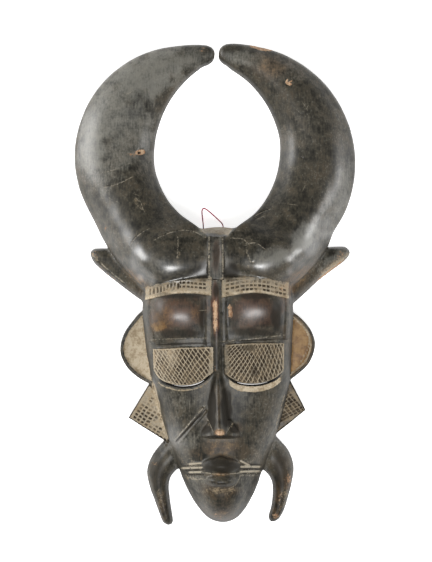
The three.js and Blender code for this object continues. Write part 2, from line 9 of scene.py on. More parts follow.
import bmesh
import bpy
import numpy as np
from bpy.props import FloatProperty, FloatVectorProperty, PointerProperty
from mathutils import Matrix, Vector


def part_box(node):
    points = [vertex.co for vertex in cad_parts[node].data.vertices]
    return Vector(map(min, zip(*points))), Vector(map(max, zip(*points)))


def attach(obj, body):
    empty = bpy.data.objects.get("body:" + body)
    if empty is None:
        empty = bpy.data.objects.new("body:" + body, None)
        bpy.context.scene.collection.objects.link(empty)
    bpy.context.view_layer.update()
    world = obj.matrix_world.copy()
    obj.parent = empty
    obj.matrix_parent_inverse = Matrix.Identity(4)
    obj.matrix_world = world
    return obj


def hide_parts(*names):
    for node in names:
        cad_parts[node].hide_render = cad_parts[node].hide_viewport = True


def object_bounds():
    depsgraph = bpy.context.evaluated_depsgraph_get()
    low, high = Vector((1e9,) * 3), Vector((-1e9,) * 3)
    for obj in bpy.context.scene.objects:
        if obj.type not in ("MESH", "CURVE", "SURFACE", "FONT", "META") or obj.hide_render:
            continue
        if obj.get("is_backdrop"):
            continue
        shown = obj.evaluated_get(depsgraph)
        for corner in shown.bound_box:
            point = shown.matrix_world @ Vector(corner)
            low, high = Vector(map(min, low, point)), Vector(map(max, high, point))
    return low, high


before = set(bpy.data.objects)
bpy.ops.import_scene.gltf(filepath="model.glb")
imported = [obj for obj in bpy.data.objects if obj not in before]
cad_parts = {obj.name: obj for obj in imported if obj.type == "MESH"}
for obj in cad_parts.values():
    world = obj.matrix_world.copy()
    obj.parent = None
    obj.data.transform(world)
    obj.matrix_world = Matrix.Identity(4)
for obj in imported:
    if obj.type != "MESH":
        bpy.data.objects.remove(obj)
cad_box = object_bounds()

bl_info = {
    "name": "Carved horned mask",
    "version": (1, 0, 0),
    "blender": (4, 5, 0),
    "location": "View3D > Sidebar > Mask",
    "description": "Makes the carved wood, its hanging thread and a plain stage",
    "category": "Object",
}

MM = 0.001

# Sizes that the solids have too, in millimetres. Head rows: y, left, right, crown, squareness.
HEAD_ROWS = np.array([
    (-151, -26.5, 36, 53, 2.4),
    (-139.5, -31, 41, 53, 2.5),
    (-107.5, -41.5, 52, 51, 2.8),
    (-76, -50, 59.5, 51, 3.4),
    (-48.5, -55, 61, 55, 4.6),
    (-12.5, -57.5, 62, 57.5, 5.4),
    (3, -52.5, 58, 57.5, 5),
    (17, -44.5, 50.5, 56, 4.6),
])
HEAD_TOP = 46.5
CHIN_END = -189.6
CHIN_LEAN = 1.4
# How squarely the head's width and its crown end at the top and at the chin
TOP_ENDS = (1.2, 3)
CHIN_ENDS = (1.1, 2.5)
RIM_HEIGHT = 18.0
WALL_SIDE = 10.0
WALL_FRONT = 11.0
HOLLOW_TOP = 22.0
HOLLOW_END = -174.0
HOLLOW_RIM = 5.0
HOLLOW_FULL = 3.0
# The shares of its width and height that the hollow keeps at its ends, and how full they are
HOLLOW_KEEPS = (0.6, 0.5)
HOLLOW_REACH = 0.985

# Blades: at each share of the way from the tip, the heights of the crown and of the two edges
HORN_HEIGHTS = np.array([
    (0, 9, 6, 6),
    (0.08, 16, 7, 7),
    (0.3, 23, 8, 7),
    (0.55, 29, 10, 8),
    (0.75, 43, 22, 14),
    (0.88, 62, 53, 26),
    (0.96, 65, 60, 34),
    (1, 60, 59, 35),
])
HORNS = {
    "left": (
        [(-0.6, 180.5), (-2.4, 177.6), (-6.5, 175), ((39, 101), 87.7, 124, 172),
         ((21.5, 106.5), 70.8, 190, 226), (-13, 44.5), (-6.5, 38.5), (-2, 32), (-1, 22), (-1, 5)],
        [(-0.2, 184.5), (-1.2, 187.6), (-5, 190), (-13, 190.9), ((-23.5, 102), 88.1, 102, 200),
         (-93.5, 45.5), (-84.5, 29), (-74.5, 16), (-66, 7), (-56, -4)],
    ),
    "right": (
        [(3, 180.5), (5, 177.4), (9.5, 174.5), ((-29, 101.5), 81.8, 60, 9),
         ((-25, 108.5), 77, -9, -43), (16.5, 44.5), (9.5, 38.5), (4, 32), (3, 22), (3, 5)],
        [(3, 184.5), (4, 188.2), (7.5, 191), (13, 191.8), ((17, 96.3), 94.7, 80, -36),
         (88.5, 28.5), (77.5, 14.5), (67, 4), (58.5, -3)],
    ),
}
# Where the ridge of a blade lies between its edges, at the tip and at the root
HORN_RIDGES = (0.44, 0.58)
MIDDLE_RIDGES = (0.5, 0.5)
HORN_SMOOTHING = 2.6
ROOT_ROLL = {"narrow": 9.0, "wide": 24.0, "spread": 0.56, "steep": 0.27}
SPIKE_HEIGHTS = np.array([(0, 7, 4, 4), (0.15, 11, 6, 6), (1, 25, 14, 14)])
SPIKES = {
    "left": (
        [(-99.4, 26), (-97, 28.3), (-92, 28.8), (-80, 27.5), (-56, 14)],
        [(-99.4, 23), (-97, 18), (-77, 1), (-56, -14), (-48, -18)],
    ),
    "right": (
        [(107.6, 27), (104.5, 29.8), (99, 30.3), (86, 28.5), (62, 14)],
        [(107.6, 24), (104.5, 20), (84, 4.5), (62, -15), (54, -19)],
    ),
}
LEG_HEIGHTS = np.array([(0, 6, 4, 4), (0.1, 10, 4.5, 4.5), (0.5, 16, 6, 6), (1, 20, 8, 8)])
LEGS = {
    "left": (
        [(-35, -192), (-33.6, -188.8), (-34.3, -183), (-36, -171), (-37, -160.5),
         (-35.3, -153.5), (-28, -145), (-18, -134), (-14, -126)],
        [(-37.6, -192.2), (-41.3, -190), (-44, -184), (-48.2, -172.5), (-52.2, -160.5),
         (-54, -148), (-49.7, -136), (-42, -126), (-33, -116)],
    ),
    "right": (
        [(43.8, -188.7), (42.9, -185.5), (45, -177), (46.2, -165), (45.7, -158),
         (42.8, -152), (37.5, -147), (28, -138), (22, -128)],
        [(46, -189.6), (50.4, -187.6), (54.5, -181.5), (58.4, -169.5), (61.4, -157),
         (62.5, -144.5), (58.4, -132.3), (50.2, -122.6), (41, -112)],
    ),
}
FLANGE_HEIGHT = 13.0
EARS = {
    "left": [(-44, -18), (-57, -20.5), (-66.3, -30), (-73.2, -41), (-75.2, -53.3), (-70.2, -65),
             (-61, -73.8), (-49, -80), (-40, -82)],
    "right": [(48, -18), (61, -21.5), (69.8, -28), (77.2, -38), (79.5, -48.5), (75, -62),
              (66, -71), (56, -77.5), (46, -80)],
}
EAR_RIM = 3.2
EAR_RECESS = 2.0
SQUARES = {
    "left": [(-52.3, -78.5), (-68.7, -105.7), (-38, -125.2), (-26, -104)],
    "right": [(60, -76.5), (72, -99.5), (46, -120.5), (34, -98)],
}

# Forms raised on the face, each between an upper and a lower edge
BROWS = {
    "left": ([(-54, -2.5), (-26.5, 3), (-3, 5.5)], [(-56, -12), (-28, -6.5), (-3, -8)]),
    "right": ([(5.5, 5.5), (30.5, 5), (57, 1)], [(5.5, -9.5), (30.5, -6), (60, -11)]),
}
BROW_TOPS = BROWS["left"][0] + BROWS["right"][0]
BROW_RISE = 2.4
PADS = {
    "left": ([(-50.5, -9), (-28, -5), (-7.5, -6)], [(-50.5, -42.8), (-28, -42), (-7.5, -41)]),
    "right": ([(8, -8), (30, -5), (54.5, -8)], [(8, -42.6), (30, -40), (54.5, -38.2)]),
}
PAD_RISE = 6.0
PAD_PEAKS = {"left": (0.2, 1.0), "right": (-0.24, 0.8)}
LIDS = {
    "left": (
        [(-48, -50), (-26, -48.6), (-1.5, -48)],
        [(-48, -67), (-42.5, -73.6), (-34, -76.6), (-24, -77.6), (-12, -75), (-1.5, -67.5)],
    ),
    "right": (
        [(7.2, -46.4), (30, -45), (53.5, -45.4)],
        [(7.2, -68), (16, -74), (26, -76), (36, -75.6), (46, -72.6), (53.5, -67)],
    ),
}
LID_TOP_RISE = 2.0
LID_RISE = 7.5
SLIT_WIDTH = 1.8
SLIT_ENDS = (0.2, 0.86)
SLIT_HEIGHTS = (18.0, 64.0)
FRAMES = [
    [(-55, -9), (-51, -9), (-47, -44), (-50.5, -44)],
    [(-7.5, -7), (-3, -7), (-2.5, -49), (-7, -49)],
    [(5.5, -7), (8.5, -7), (8.8, -48), (6, -48)],
    [(55, -8), (59.5, -8), (58.5, -42), (54, -42)],
]
FRAME_RISE = 1.8
RIDGE_CORNERS = [(-2.6, 4), (4.6, 4), (5, -67), (-2.2, -67)]
RIDGE_RISE = 4.0
RIDGE_LEFT = -2.4
RIDGE_WIDTH = 7.2
CREST_CORNERS = [(-5.2, 37.5), (6.8, 37.5), (6.8, 3.5), (-5.2, 3.5)]
CREST_BASE = 64.0
CREST_RIM = 2.2
CREST_GROOVE = 1.6
CREST_FALL = 11.0
# Nose rows: y, middle, half width, rise
NOSE_ROWS = np.array([
    (-115.5, 3.6, 7, 19.5),
    (-111, 3.5, 7.8, 21),
    (-104, 3.2, 7.6, 17),
    (-92, 2.8, 6.8, 11.5),
    (-77, 2.5, 4.4, 5.5),
    (-64, 2.3, 2.2, 1.5),
])
NOSTRILS = {"top": -104, "bottom": -117, "narrow": 8, "wide": 15, "middle": 4.2, "rise": 12}
MOUTH_MIDDLE = 4.4
LIPS = [
    {"top": -133.5, "bottom": -145, "half": 14.5, "rise": 9, "peak": 1.2},
    {"top": -147, "bottom": -155, "half": 13, "rise": 8, "peak": 0},
]
MOUTH_BASE = {"top": -131, "bottom": -160, "half": 17, "rise": 3.5}
SCARS = [
    [(-9.5, -95.5), (-30.5, -121.5)],
    [(-6.8, -97.6), (-27.8, -123.4)],
    [(-20.5, -138.4), (-10.5, -137.8)],
    [(-24.5, -141.6), (-10.5, -141.2)],
    [(-20.5, -144.9), (-10.5, -144.6)],
    [(19.5, -136.2), (26.5, -139.4)],
    [(20, -140.8), (34.5, -140.6)],
    [(20, -144.4), (34.5, -144.2)],
]
SCAR_RISE = 1.1
SCAR_FALL = 0.9
SCAR_WIDTH = 2.0
# How steeply the walls of raised forms fall, and how softly they meet the head
GENTLE, SLOPING, STEEP, UPRIGHT = 2.0, 3.0, 5.0, 9.0
FILLET = 0.7
SCAR_FILLET = 0.9

# The thread, and the holes that it runs through
THREAD_SIZE = 1.0
HOLE_SIZE = 2.8
HOLE_HEIGHT = 4.4
HOLES = (-9.3, 6.6)
HOLE_RUN = (10.0, 60.0)
THREAD_PATH = [
    (-3.1, 13.4, 1.4), (-4.8, 14.1, 1.6), (-7.3, 16, 2.7), (-8.9, 19, 4), (-9.3, 23, 4.4),
    (-9.3, 32, 4.4), (-9.3, 41, 4.4), (-9.3, 46, 4.1), (-9.6, 49.5, 2.2), (-10, 53, 0.8),
    (-10.4, 57, 0.6), (-10.2, 59.6, 0.6), (-8.9, 60.9, 0.6), (-6.9, 60, 0.6), (-3.9, 57.7, 0.6),
    (-0.1, 54.3, 0.6), (3.2, 51.2, 0.8), (5.5, 48.8, 2.2), (6.5, 46, 4.1), (6.6, 41, 4.4),
    (6.6, 32, 4.4), (6.6, 23, 4.4), (6.2, 19, 4), (4.8, 16, 2.7), (2.7, 14.1, 1.6),
    (1.2, 13.4, 1.4),
]
KNOT_CENTRE = (-0.95, 13.2, 1.45)
KNOT_SIZE = (3.5, 2.6, 2.6)

# How round the edges of each kind of form are, and how softly it joins the rest
EDGES = {"head": 3.0, "horn": 3.0, "limb": 2.6, "flange": 2.0, "crest": 0.8, "hollow": 4.0}
JOINS = {"head": 1.0, "horn": 4.0, "limb": 1.6, "flange": 0.8, "crest": 0.8, "hollow": 1.0}
BACK_EDGE = 1.0
RIM_EDGE = 2.0

# How deep the fine marks go, other than the hatching
GROOVE_DEPTH = 0.3
CHISEL_DEPTH = 0.9
WAVE_DEPTH = 0.12
RIPPLE_DEPTH = 0.06

# Where the camera stands, and what it sees across the table
EYE = (0.8, 2.8, 1400.0)
VIEW_HEIGHT = 449.6

# How finely things are worked out
SHEET_STEP = 0.5
SKIN_STEP = 2.1
EDGE_POINTS = 90
EAR_POINTS = 60
HOLE_SIDES = 20
BACK_THINNING = 0.75
SHARP_FROM = math.radians(60)
# The corners of the space searched for the skin, and the field that the speckles fill
SKIN_LOW = (-116.0, -196.4, -3.7)
SKIN_HIGH = (116.0, 196.4, 76.0)
SPECKLE_LOW = (-150, -230)
SPECKLE_SPAN = (320, 480)
# Where faces are split at least once: from and to in x, then in y, and above which height
FACE_ZONE = (-62, 66, -166, 14)
FACE_FROM = 24
CREST_ZONE = (-9.2, 10.8, 0, 42)


def mix(a, b, t):
    return a + (b - a) * t


def ramp(low, high, value):
    """0 below low and 1 above high, with soft ends. low may be the higher one."""
    t = np.clip((value - low) / (high - low), 0, 1)
    return t * t * (3 - 2 * t)


def softer_most(a, b, reach):
    """The higher of two, with the corner between them filled over a reach."""
    near = np.maximum(reach - np.abs(a - b), 0) / reach
    return np.maximum(a, b) + near * near * reach / 4


def softer_least(a, b, reach):
    return -softer_most(-a, -b, reach)


def between(keys, values, at):
    """A smooth value between rows whose keys rise."""
    at = np.clip(at, keys[0], keys[-1])
    last = len(keys) - 1
    before = np.maximum(np.arange(last + 1) - 1, 0)
    after = np.minimum(np.arange(last + 1) + 1, last)
    slopes = (values[after] - values[before]) / (keys[after] - keys[before])
    i = np.clip(np.searchsorted(keys, at, side="right") - 1, 0, last - 1)
    step = keys[i + 1] - keys[i]
    t = (at - keys[i]) / step
    rise = values[i + 1] - values[i]
    a = slopes[i] * step - rise
    b = rise - slopes[i + 1] * step
    return values[i] + rise * t + t * (1 - t) * (a * (1 - t) + b * t)


def edge_height(points, x):
    """How high on the face an edge runs at x."""
    points = np.array(points, float)
    return between(points[:, 0], points[:, 1], x)


def smooth_line(points, per=8):
    """A smooth line through points, evenly paced whatever their spacing."""
    p = np.array(points, float)
    p = np.vstack([2 * p[0] - p[1], p, 2 * p[-1] - p[-2]])
    a, b, c, d = p[:-3], p[1:-2], p[2:-1], p[3:]
    ab, bc, cd = (
        np.sqrt(np.maximum(np.linalg.norm(v - u, axis=1), 1e-6))[:, None]
        for u, v in ((a, b), (b, c), (c, d))
    )
    leave = ((b - a) / ab - (c - a) / (ab + bc) + (c - b) / bc) * bc
    arrive = ((c - b) / bc - (d - b) / (bc + cd) + (d - c) / cd) * bc
    t = (np.arange(per) / per)[None, :, None]
    b, c, leave, arrive = (v[:, None] for v in (b, c, leave, arrive))
    line = (
        (2 * t**3 - 3 * t**2 + 1) * b
        + (t**3 - 2 * t**2 + t) * leave
        + (3 * t**2 - 2 * t**3) * c
        + (t**3 - t**2) * arrive
    )
    return np.vstack([line.reshape(-1, p.shape[1]), p[-2]])


def drawn_edge(pieces):
    """A smooth line through points and arcs, an arc being (centre, radius, from, to)."""
    points = []
    for piece in pieces:
        if len(piece) == 2:
            points.append(piece)
            continue
        centre, radius, start, end = piece
        turns = max(3, math.ceil(abs(end - start) / 12))
        for angle in np.radians(np.linspace(start, end, turns + 1)):
            across, up = radius * math.cos(angle), radius * math.sin(angle)
            points.append((centre[0] + across, centre[1] + up))
    return smooth_line(points)


def evenly(line, count):
    """The same line with its points evenly spaced."""
    steps = np.linalg.norm(np.diff(line, axis=0), axis=1)
    along = np.concatenate([[0], np.cumsum(steps)])
    wanted = np.linspace(0, along[-1], count)
    return np.stack([np.interp(wanted, along, line[:, k]) for k in range(line.shape[1])], axis=1)


def away_from(line, x, y):
    """The distance to a line, and the share of its points passed at the nearest place."""
    best = np.full(x.shape, 1e9)
    share = np.zeros(x.shape)
    last = len(line) - 1
    for i, (a, b) in enumerate(zip(line[:-1], line[1:])):
        run = b - a
        t = ((x - a[0]) * run[0] + (y - a[1]) * run[1]) / max(run @ run, 1e-9)
        t = np.clip(t, 0, 1)
        gap = (x - a[0] - t * run[0]) ** 2 + (y - a[1] - t * run[1]) ** 2
        nearer = gap < best
        best = np.where(nearer, gap, best)
        share = np.where(nearer, (i + t) / last, share)
    return np.sqrt(best), share


def within(outline, x, y):
    """Whether points lie inside a closed outline."""
    inside = np.zeros(x.shape, bool)
    for a, b in zip(outline, np.roll(outline, -1, axis=0)):
        if a[1] == b[1]:
            continue
        crosses = (a[1] > y) != (b[1] > y)
        inside ^= crosses & (x < a[0] + (y - a[1]) * (b[0] - a[0]) / (b[1] - a[1]))
    return inside


def outside_by(outline, x, y):
    """The distance outside a closed outline, below zero inside it."""
    closed = np.vstack([outline, outline[:1]])
    gap, _ = away_from(closed, x, y)
    return np.where(within(outline, x, y), -gap, gap)


def around(middle, half, y):
    """The outline that lies half to each side of a middle line."""
    left = np.stack([middle - half, y], axis=1)
    right = np.stack([middle + half, y], axis=1)
    return np.vstack([left, right[::-1]])


EAR_OUTLINES = {side: evenly(smooth_line(line), EAR_POINTS) for side, line in EARS.items()}
SQUARE_OUTLINES = {side: np.array(corners, float) for side, corners in SQUARES.items()}


class Speckle:
    """Soft unevenness over the whole carving, the same on each run."""

    def __init__(self, size, seed):
        self.size = size
        counts = tuple(int(span / size) + 3 for span in SPECKLE_SPAN)
        self.draws = np.random.default_rng(seed).random(counts)

    def __call__(self, x, y):
        u, v = (x - SPECKLE_LOW[0]) / self.size, (y - SPECKLE_LOW[1]) / self.size
        u = np.clip(u, 0, self.draws.shape[0] - 1.001)
        v = np.clip(v, 0, self.draws.shape[1] - 1.001)
        i, j = u.astype(int), v.astype(int)
        s, t = u - i, v - j
        s, t = s * s * (3 - 2 * s), t * t * (3 - 2 * t)
        low = mix(self.draws[i, j], self.draws[i + 1, j], s)
        high = mix(self.draws[i, j + 1], self.draws[i + 1, j + 1], s)
        return 2 * mix(low, high, t) - 1


class Form:
    """A body that stands on the resting plane inside an outline, up to a front surface."""

    MARGIN = 9.0
    FAR = 60.0

    def __init__(self, outline, front, kind, smoothing=0):
        self.edge, self.join = EDGES[kind], JOINS[kind]
        self.low = outline.min(0) - self.MARGIN
        self.high = outline.max(0) + self.MARGIN
        x, y = (np.arange(self.low[k], self.high[k] + 2 * SHEET_STEP, SHEET_STEP) for k in (0, 1))
        x, y = np.meshgrid(x, y, indexing="ij")
        gap, height = outside_by(outline, x, y), front(x, y)
        if smoothing:
            height = self.smoothed(height, gap < 0.5, smoothing / SHEET_STEP)
        slopes = np.gradient(height, SHEET_STEP)
        lean = 1 / np.sqrt(1 + slopes[0] ** 2 + slopes[1] ** 2)
        self.sheets = np.stack([gap, height, lean], axis=-1)

    @staticmethod
    def smoothed(height, known, reach):
        """The height without its small ripples, from the places where it is known."""
        far = int(3 * reach)
        bell = np.exp(-0.5 * (np.arange(-far, far + 1) / reach) ** 2)

        def blurred(values):
            for axis in (0, 1):
                values = np.apply_along_axis(np.convolve, axis, values, bell, mode="same")
            return values

        share = blurred(known * 1.0)
        return np.where(share > 0.001, blurred(height * known) / np.maximum(share, 0.001), height)

    def read(self, x, y):
        u, v = (x - self.low[0]) / SHEET_STEP, (y - self.low[1]) / SHEET_STEP
        i, j = u.astype(int), v.astype(int)
        s, t = (u - i)[:, None], (v - j)[:, None]
        low = mix(self.sheets[i, j], self.sheets[i + 1, j], s)
        high = mix(self.sheets[i, j + 1], self.sheets[i + 1, j + 1], s)
        return mix(low, high, t).T[..., None]

    def outside(self, x, y, z):
        """About the distance outside the body. z has one more axis than x and y."""
        near = (x > self.low[0]) & (x < self.high[0]) & (y > self.low[1]) & (y < self.high[1])
        found = np.full(z.shape, self.FAR)
        side, front, lean = self.read(x[near], y[near])
        found[near] = softer_most(side, (z[near] - front) * lean, self.edge)
        return found


def head_at(y):
    """The head's middle, half width, crown height and squareness at y."""
    low, high = HEAD_ROWS[0, 0], HEAD_ROWS[-1, 0]
    left, right, crown, full = (
        between(HEAD_ROWS[:, 0], HEAD_ROWS[:, k], y) for k in (1, 2, 3, 4)
    )
    up = np.clip((y - high) / (HEAD_TOP - high), 0, 0.9999)
    down = np.clip((low - y) / (low - CHIN_END), 0, 0.9999)
    ends = [
        np.sqrt(1 - up ** TOP_ENDS[k]) * np.sqrt(1 - down ** CHIN_ENDS[k]) for k in (0, 1)
    ]
    half = (right - left) / 2 * ends[0]
    return (left + right) / 2 + CHIN_LEAN * down, half, crown * ends[1], full


def dome(s, rim, crown, full):
    return rim + (crown - rim) * (1 - np.abs(s) ** full) ** (2.2 / full)


def head_height(x, y):
    """The plain head, before anything is carved on it."""
    middle, half, crown, full = head_at(y)
    s = np.clip((x - middle) / half, -1, 1)
    return dome(s, np.minimum(RIM_HEIGHT, crown * 0.6), crown, full)


def head_outline():
    turn = np.linspace(0, math.pi, EDGE_POINTS)
    y = mix(HEAD_TOP, CHIN_END, 0.5 - 0.5 * np.cos(turn))
    middle, half, _, _ = head_at(y)
    return around(middle, half, y)


class Patch:
    """A form on the face between an upper and a lower edge."""

    def __init__(self, shape):
        self.top, self.bottom = shape
        x = np.linspace(self.top[0][0], self.top[-1][0], 25)
        upper = np.stack([x, edge_height(self.top, x)], axis=1)
        lower = np.stack([x, edge_height(self.bottom, x)], axis=1)
        self.outline = np.vstack([upper, lower[::-1]])

    def place(self, x, y):
        """The shares of the way across and down."""
        u = (x - self.top[0][0]) / (self.top[-1][0] - self.top[0][0])
        high, low = edge_height(self.top, x), edge_height(self.bottom, x)
        return u, (high - y) / (high - low)

    def outside(self, x, y):
        return outside_by(self.outline, x, y)


BROW_PATCHES = {side: Patch(shape) for side, shape in BROWS.items()}
PAD_PATCHES = {side: Patch(shape) for side, shape in PADS.items()}
LID_PATCHES = {side: Patch(shape) for side, shape in LIDS.items()}


# Each rule below gives the forms of one kind that are raised on the face: how high they rise, the
# distance outside them, how steeply their walls fall and how softly they meet the head.
def brows(x, y):
    for patch in BROW_PATCHES.values():
        yield BROW_RISE, patch.outside(x, y), SLOPING, FILLET


def frames(x, y):
    for corners in FRAMES:
        yield FRAME_RISE, outside_by(np.array(corners, float), x, y), SLOPING, FILLET


def pads(x, y):
    for side, patch in PAD_PATCHES.items():
        u, v = (np.clip(t, 0, 1) for t in patch.place(x, y))
        lean, high = PAD_PEAKS[side]
        t = 2 * u - 1
        across = (1 - np.abs(t + lean * (1 - t * t)) ** 2.4) ** 0.75
        along = np.sin(math.pi * (0.06 + 0.93 * v**high)) ** 1.05
        yield PAD_RISE * across * along, patch.outside(x, y), SLOPING, FILLET


def lids(x, y):
    for patch in LID_PATCHES.values():
        u, v = (np.clip(t, 0, 1) for t in patch.place(x, y))
        across = (1 - np.abs(2 * u - 1) ** 3.5) ** 0.6
        rise = LID_TOP_RISE + (LID_RISE - LID_TOP_RISE) * across * (1 - (1 - v) ** 2.2)
        yield rise, patch.outside(x, y), STEEP, FILLET


def ridge_between_eyes(x, y):
    u = np.clip((x - RIDGE_LEFT) / RIDGE_WIDTH, 0, 1)
    rise = RIDGE_RISE * (0.55 + 0.45 * np.sin(math.pi * u))
    yield rise, outside_by(np.array(RIDGE_CORNERS, float), x, y), SLOPING, FILLET


def nose(x, y):
    keys = NOSE_ROWS[:, 0]
    middle, half, rise = (between(keys, NOSE_ROWS[:, k], y) for k in (1, 2, 3))
    side = np.clip(np.abs(x - middle) / half, 0, 1)
    rows = np.linspace(keys[0], keys[-1], 24)
    outline = around(*(between(keys, NOSE_ROWS[:, k], rows) for k in (1, 2)), rows)
    yield rise * (1 - side**1.5) ** 0.8, outside_by(outline, x, y), UPRIGHT, FILLET


def nostrils(x, y):
    top, bottom = NOSTRILS["top"], NOSTRILS["bottom"]
    share = np.clip((top - y) / (top - bottom), 0, 1)
    half = mix(NOSTRILS["narrow"], NOSTRILS["wide"], np.clip(share * 1.4, 0, 1) ** 0.8)
    off = np.abs(x - NOSTRILS["middle"])
    side = np.clip(off / half, 0, 1)
    wing = NOSTRILS["rise"] * (1 - side**3) ** 0.7 * (0.55 + 0.45 * share)
    yield wing, np.maximum.reduce([off - half, y - top, bottom - y]), UPRIGHT, FILLET


def mouth(x, y):
    """The swelling round the mouth, then the two lips."""
    off = x - MOUTH_MIDDLE
    across = np.clip(off / MOUTH_BASE["half"], -1, 1)
    centre = (MOUTH_BASE["top"] + MOUTH_BASE["bottom"]) / 2
    tall = (MOUTH_BASE["top"] - MOUTH_BASE["bottom"]) / 2 * np.sqrt(1 - 0.9 * across**2)
    down = np.clip((centre - y) / tall, -1, 1)
    swell = MOUTH_BASE["rise"] * (1 - 0.95 * across**2) * (1 - 0.95 * down**2)
    beyond = np.maximum(np.abs(off) - MOUTH_BASE["half"], np.abs(y - centre) - tall)
    yield swell, beyond, GENTLE, FILLET
    for lip in LIPS:
        across = np.clip(off / lip["half"], -1, 1)
        bow = np.sqrt(1 - 0.94 * across**2)
        centre = (lip["top"] + lip["bottom"]) / 2
        peak = lip["peak"] * np.maximum(0, 1 - np.abs(across) * 3)
        upper = centre + (lip["top"] - centre) * bow + peak
        lower = centre - (centre - lip["bottom"]) * bow
        down = np.clip((upper - y) / (upper - lower), 0, 1)
        full = (1 - 0.9 * np.abs(across) ** 2.5) ** 0.8
        rise = lip["rise"] * full * (0.6 + 0.4 * np.sin(math.pi * down))
        beyond = np.maximum.reduce([np.abs(off) - lip["half"], y - upper, lower - y])
        yield rise, beyond, STEEP, FILLET


def scars(x, y):
    half = SCAR_WIDTH / 2
    for scar in SCARS:
        gap, _ = away_from(np.array(scar, float), x, y)
        yield SCAR_RISE - SCAR_FALL * gap / half, gap - half, GENTLE, SCAR_FILLET


def carved_face(x, y):
    """The head's front with all that is raised on it."""
    plain = head_height(x, y)
    face = plain.copy()
    for forms in (brows, frames, pads, lids, ridge_between_eyes, nose, nostrils, mouth, scars):
        for rise, outside, wall, fillet in forms(x, y):
            face = softer_most(face, plain + rise - wall * np.maximum(outside, 0), fillet)
    return face


def root_roll(x, y):
    """How far the root of a horn rolls down towards the brow."""
    reach = ROOT_ROLL["narrow"] + ROOT_ROLL["spread"] * (np.abs(x - 1) - 21)
    reach = np.clip(reach, ROOT_ROLL["narrow"], ROOT_ROLL["wide"])
    above = (y - edge_height(BROW_TOPS, x)) / reach
    return ROOT_ROLL["steep"] * reach * np.clip(1 - above, 0, 1) ** 2


def blade(shape, heights, kind, ridges=MIDDLE_RIDGES):
    """A horn, spike or leg between its inner and its outer edge."""
    inner, outer = (evenly(drawn_edge(pieces), EDGE_POINTS) for pieces in shape)
    centre = (inner + outer) / 2
    horn = kind == "horn"

    def front(x, y):
        to_inner, _ = away_from(inner, x, y)
        to_outer, _ = away_from(outer, x, y)
        _, at = away_from(centre, x, y)
        s = to_inner / np.maximum(to_inner + to_outer, 1e-6)
        crown, low, high = (between(heights[:, 0], heights[:, k], at) for k in (1, 2, 3))
        power = math.log(0.5) / np.log(mix(*ridges, ramp(0.6, 0.85, at)))
        swell = (1 - np.abs(2 * s**power - 1) ** 2.2) ** 0.82
        height = mix(mix(low, high, s), crown, swell)
        return height - root_roll(x, y) if horn else height

    return Form(np.vstack([outer, inner[::-1]]), front, kind, HORN_SMOOTHING if horn else 0)


def ear_form(outline):
    def front(x, y):
        inside = -outside_by(outline, x, y)
        return FLANGE_HEIGHT - EAR_RECESS * ramp(EAR_RIM - 0.5, EAR_RIM + 0.7, inside)

    return Form(outline, front, "flange")


def square_form(outline):
    return Form(outline, lambda x, y: np.full(x.shape, FLANGE_HEIGHT), "flange")


def crest_form():
    corners = np.array(CREST_CORNERS, float)
    left, right = corners[0, 0], corners[1, 0]
    top, bottom = corners[0, 1], corners[2, 1]

    def front(x, y):
        u = np.abs(2 * (x - left) / (right - left) - 1)
        v = np.clip((top - y) / (top - bottom), 0, 1)
        groove = CREST_GROOVE * ramp(0.62, 0.5, u)
        return CREST_BASE + CREST_RIM - groove - CREST_FALL * (1 - v) ** 3

    return Form(corners, front, "crest")


def hollow_at(y):
    """The hollow's middle, half width, crown height and squareness at y."""
    middle, half, crown, full = head_at(y)
    t = 2 * (y - HOLLOW_TOP) / (HOLLOW_END - HOLLOW_TOP) - 1
    plump = np.sqrt(1 - np.clip(t, -HOLLOW_REACH, HOLLOW_REACH) ** 6)
    half = (half - WALL_SIDE) * mix(HOLLOW_KEEPS[0], 1, plump)
    crown = (crown - WALL_FRONT) * mix(HOLLOW_KEEPS[1], 1, plump)
    return middle, half, crown, np.minimum(HOLLOW_FULL, full)


def hollow_form():
    t = -np.cos(np.linspace(0.02, math.pi - 0.02, 60))
    y = mix(HOLLOW_TOP, HOLLOW_END, (t * HOLLOW_REACH + 1) / 2)
    middle, half, _, _ = hollow_at(y)

    def front(x, y):
        middle, half, crown, full = hollow_at(y)
        return dome(np.clip((x - middle) / half, -1, 1), HOLLOW_RIM, crown, full)

    return Form(around(middle, half, y), front, "hollow")


class Carving:
    """The whole carved wood, as distances outside it."""

    def __init__(self):
        self.forms = [
            Form(head_outline(), carved_face, "head"),
            *[blade(shape, HORN_HEIGHTS, "horn", HORN_RIDGES) for shape in HORNS.values()],
            *[blade(shape, SPIKE_HEIGHTS, "limb") for shape in SPIKES.values()],
            *[blade(shape, LEG_HEIGHTS, "limb") for shape in LEGS.values()],
            *map(ear_form, EAR_OUTLINES.values()),
            *map(square_form, SQUARE_OUTLINES.values()),
            crest_form(),
        ]
        self.hollow = hollow_form()

    def outer(self, x, y, z):
        """The distance outside the wood as if its back weren't hollow."""
        if z.ndim == x.ndim:
            return self.outer(x, y, z[..., None])[..., 0]
        found = self.forms[0].outside(x, y, z)
        for form in self.forms[1:]:
            found = softer_least(found, form.outside(x, y, z), form.join)
        return softer_most(found, -z, BACK_EDGE)

    def outside(self, x, y, z):
        if z.ndim == x.ndim:
            return self.outside(x, y, z[..., None])[..., 0]
        return softer_most(self.outer(x, y, z), -self.hollow.outside(x, y, z), RIM_EDGE)


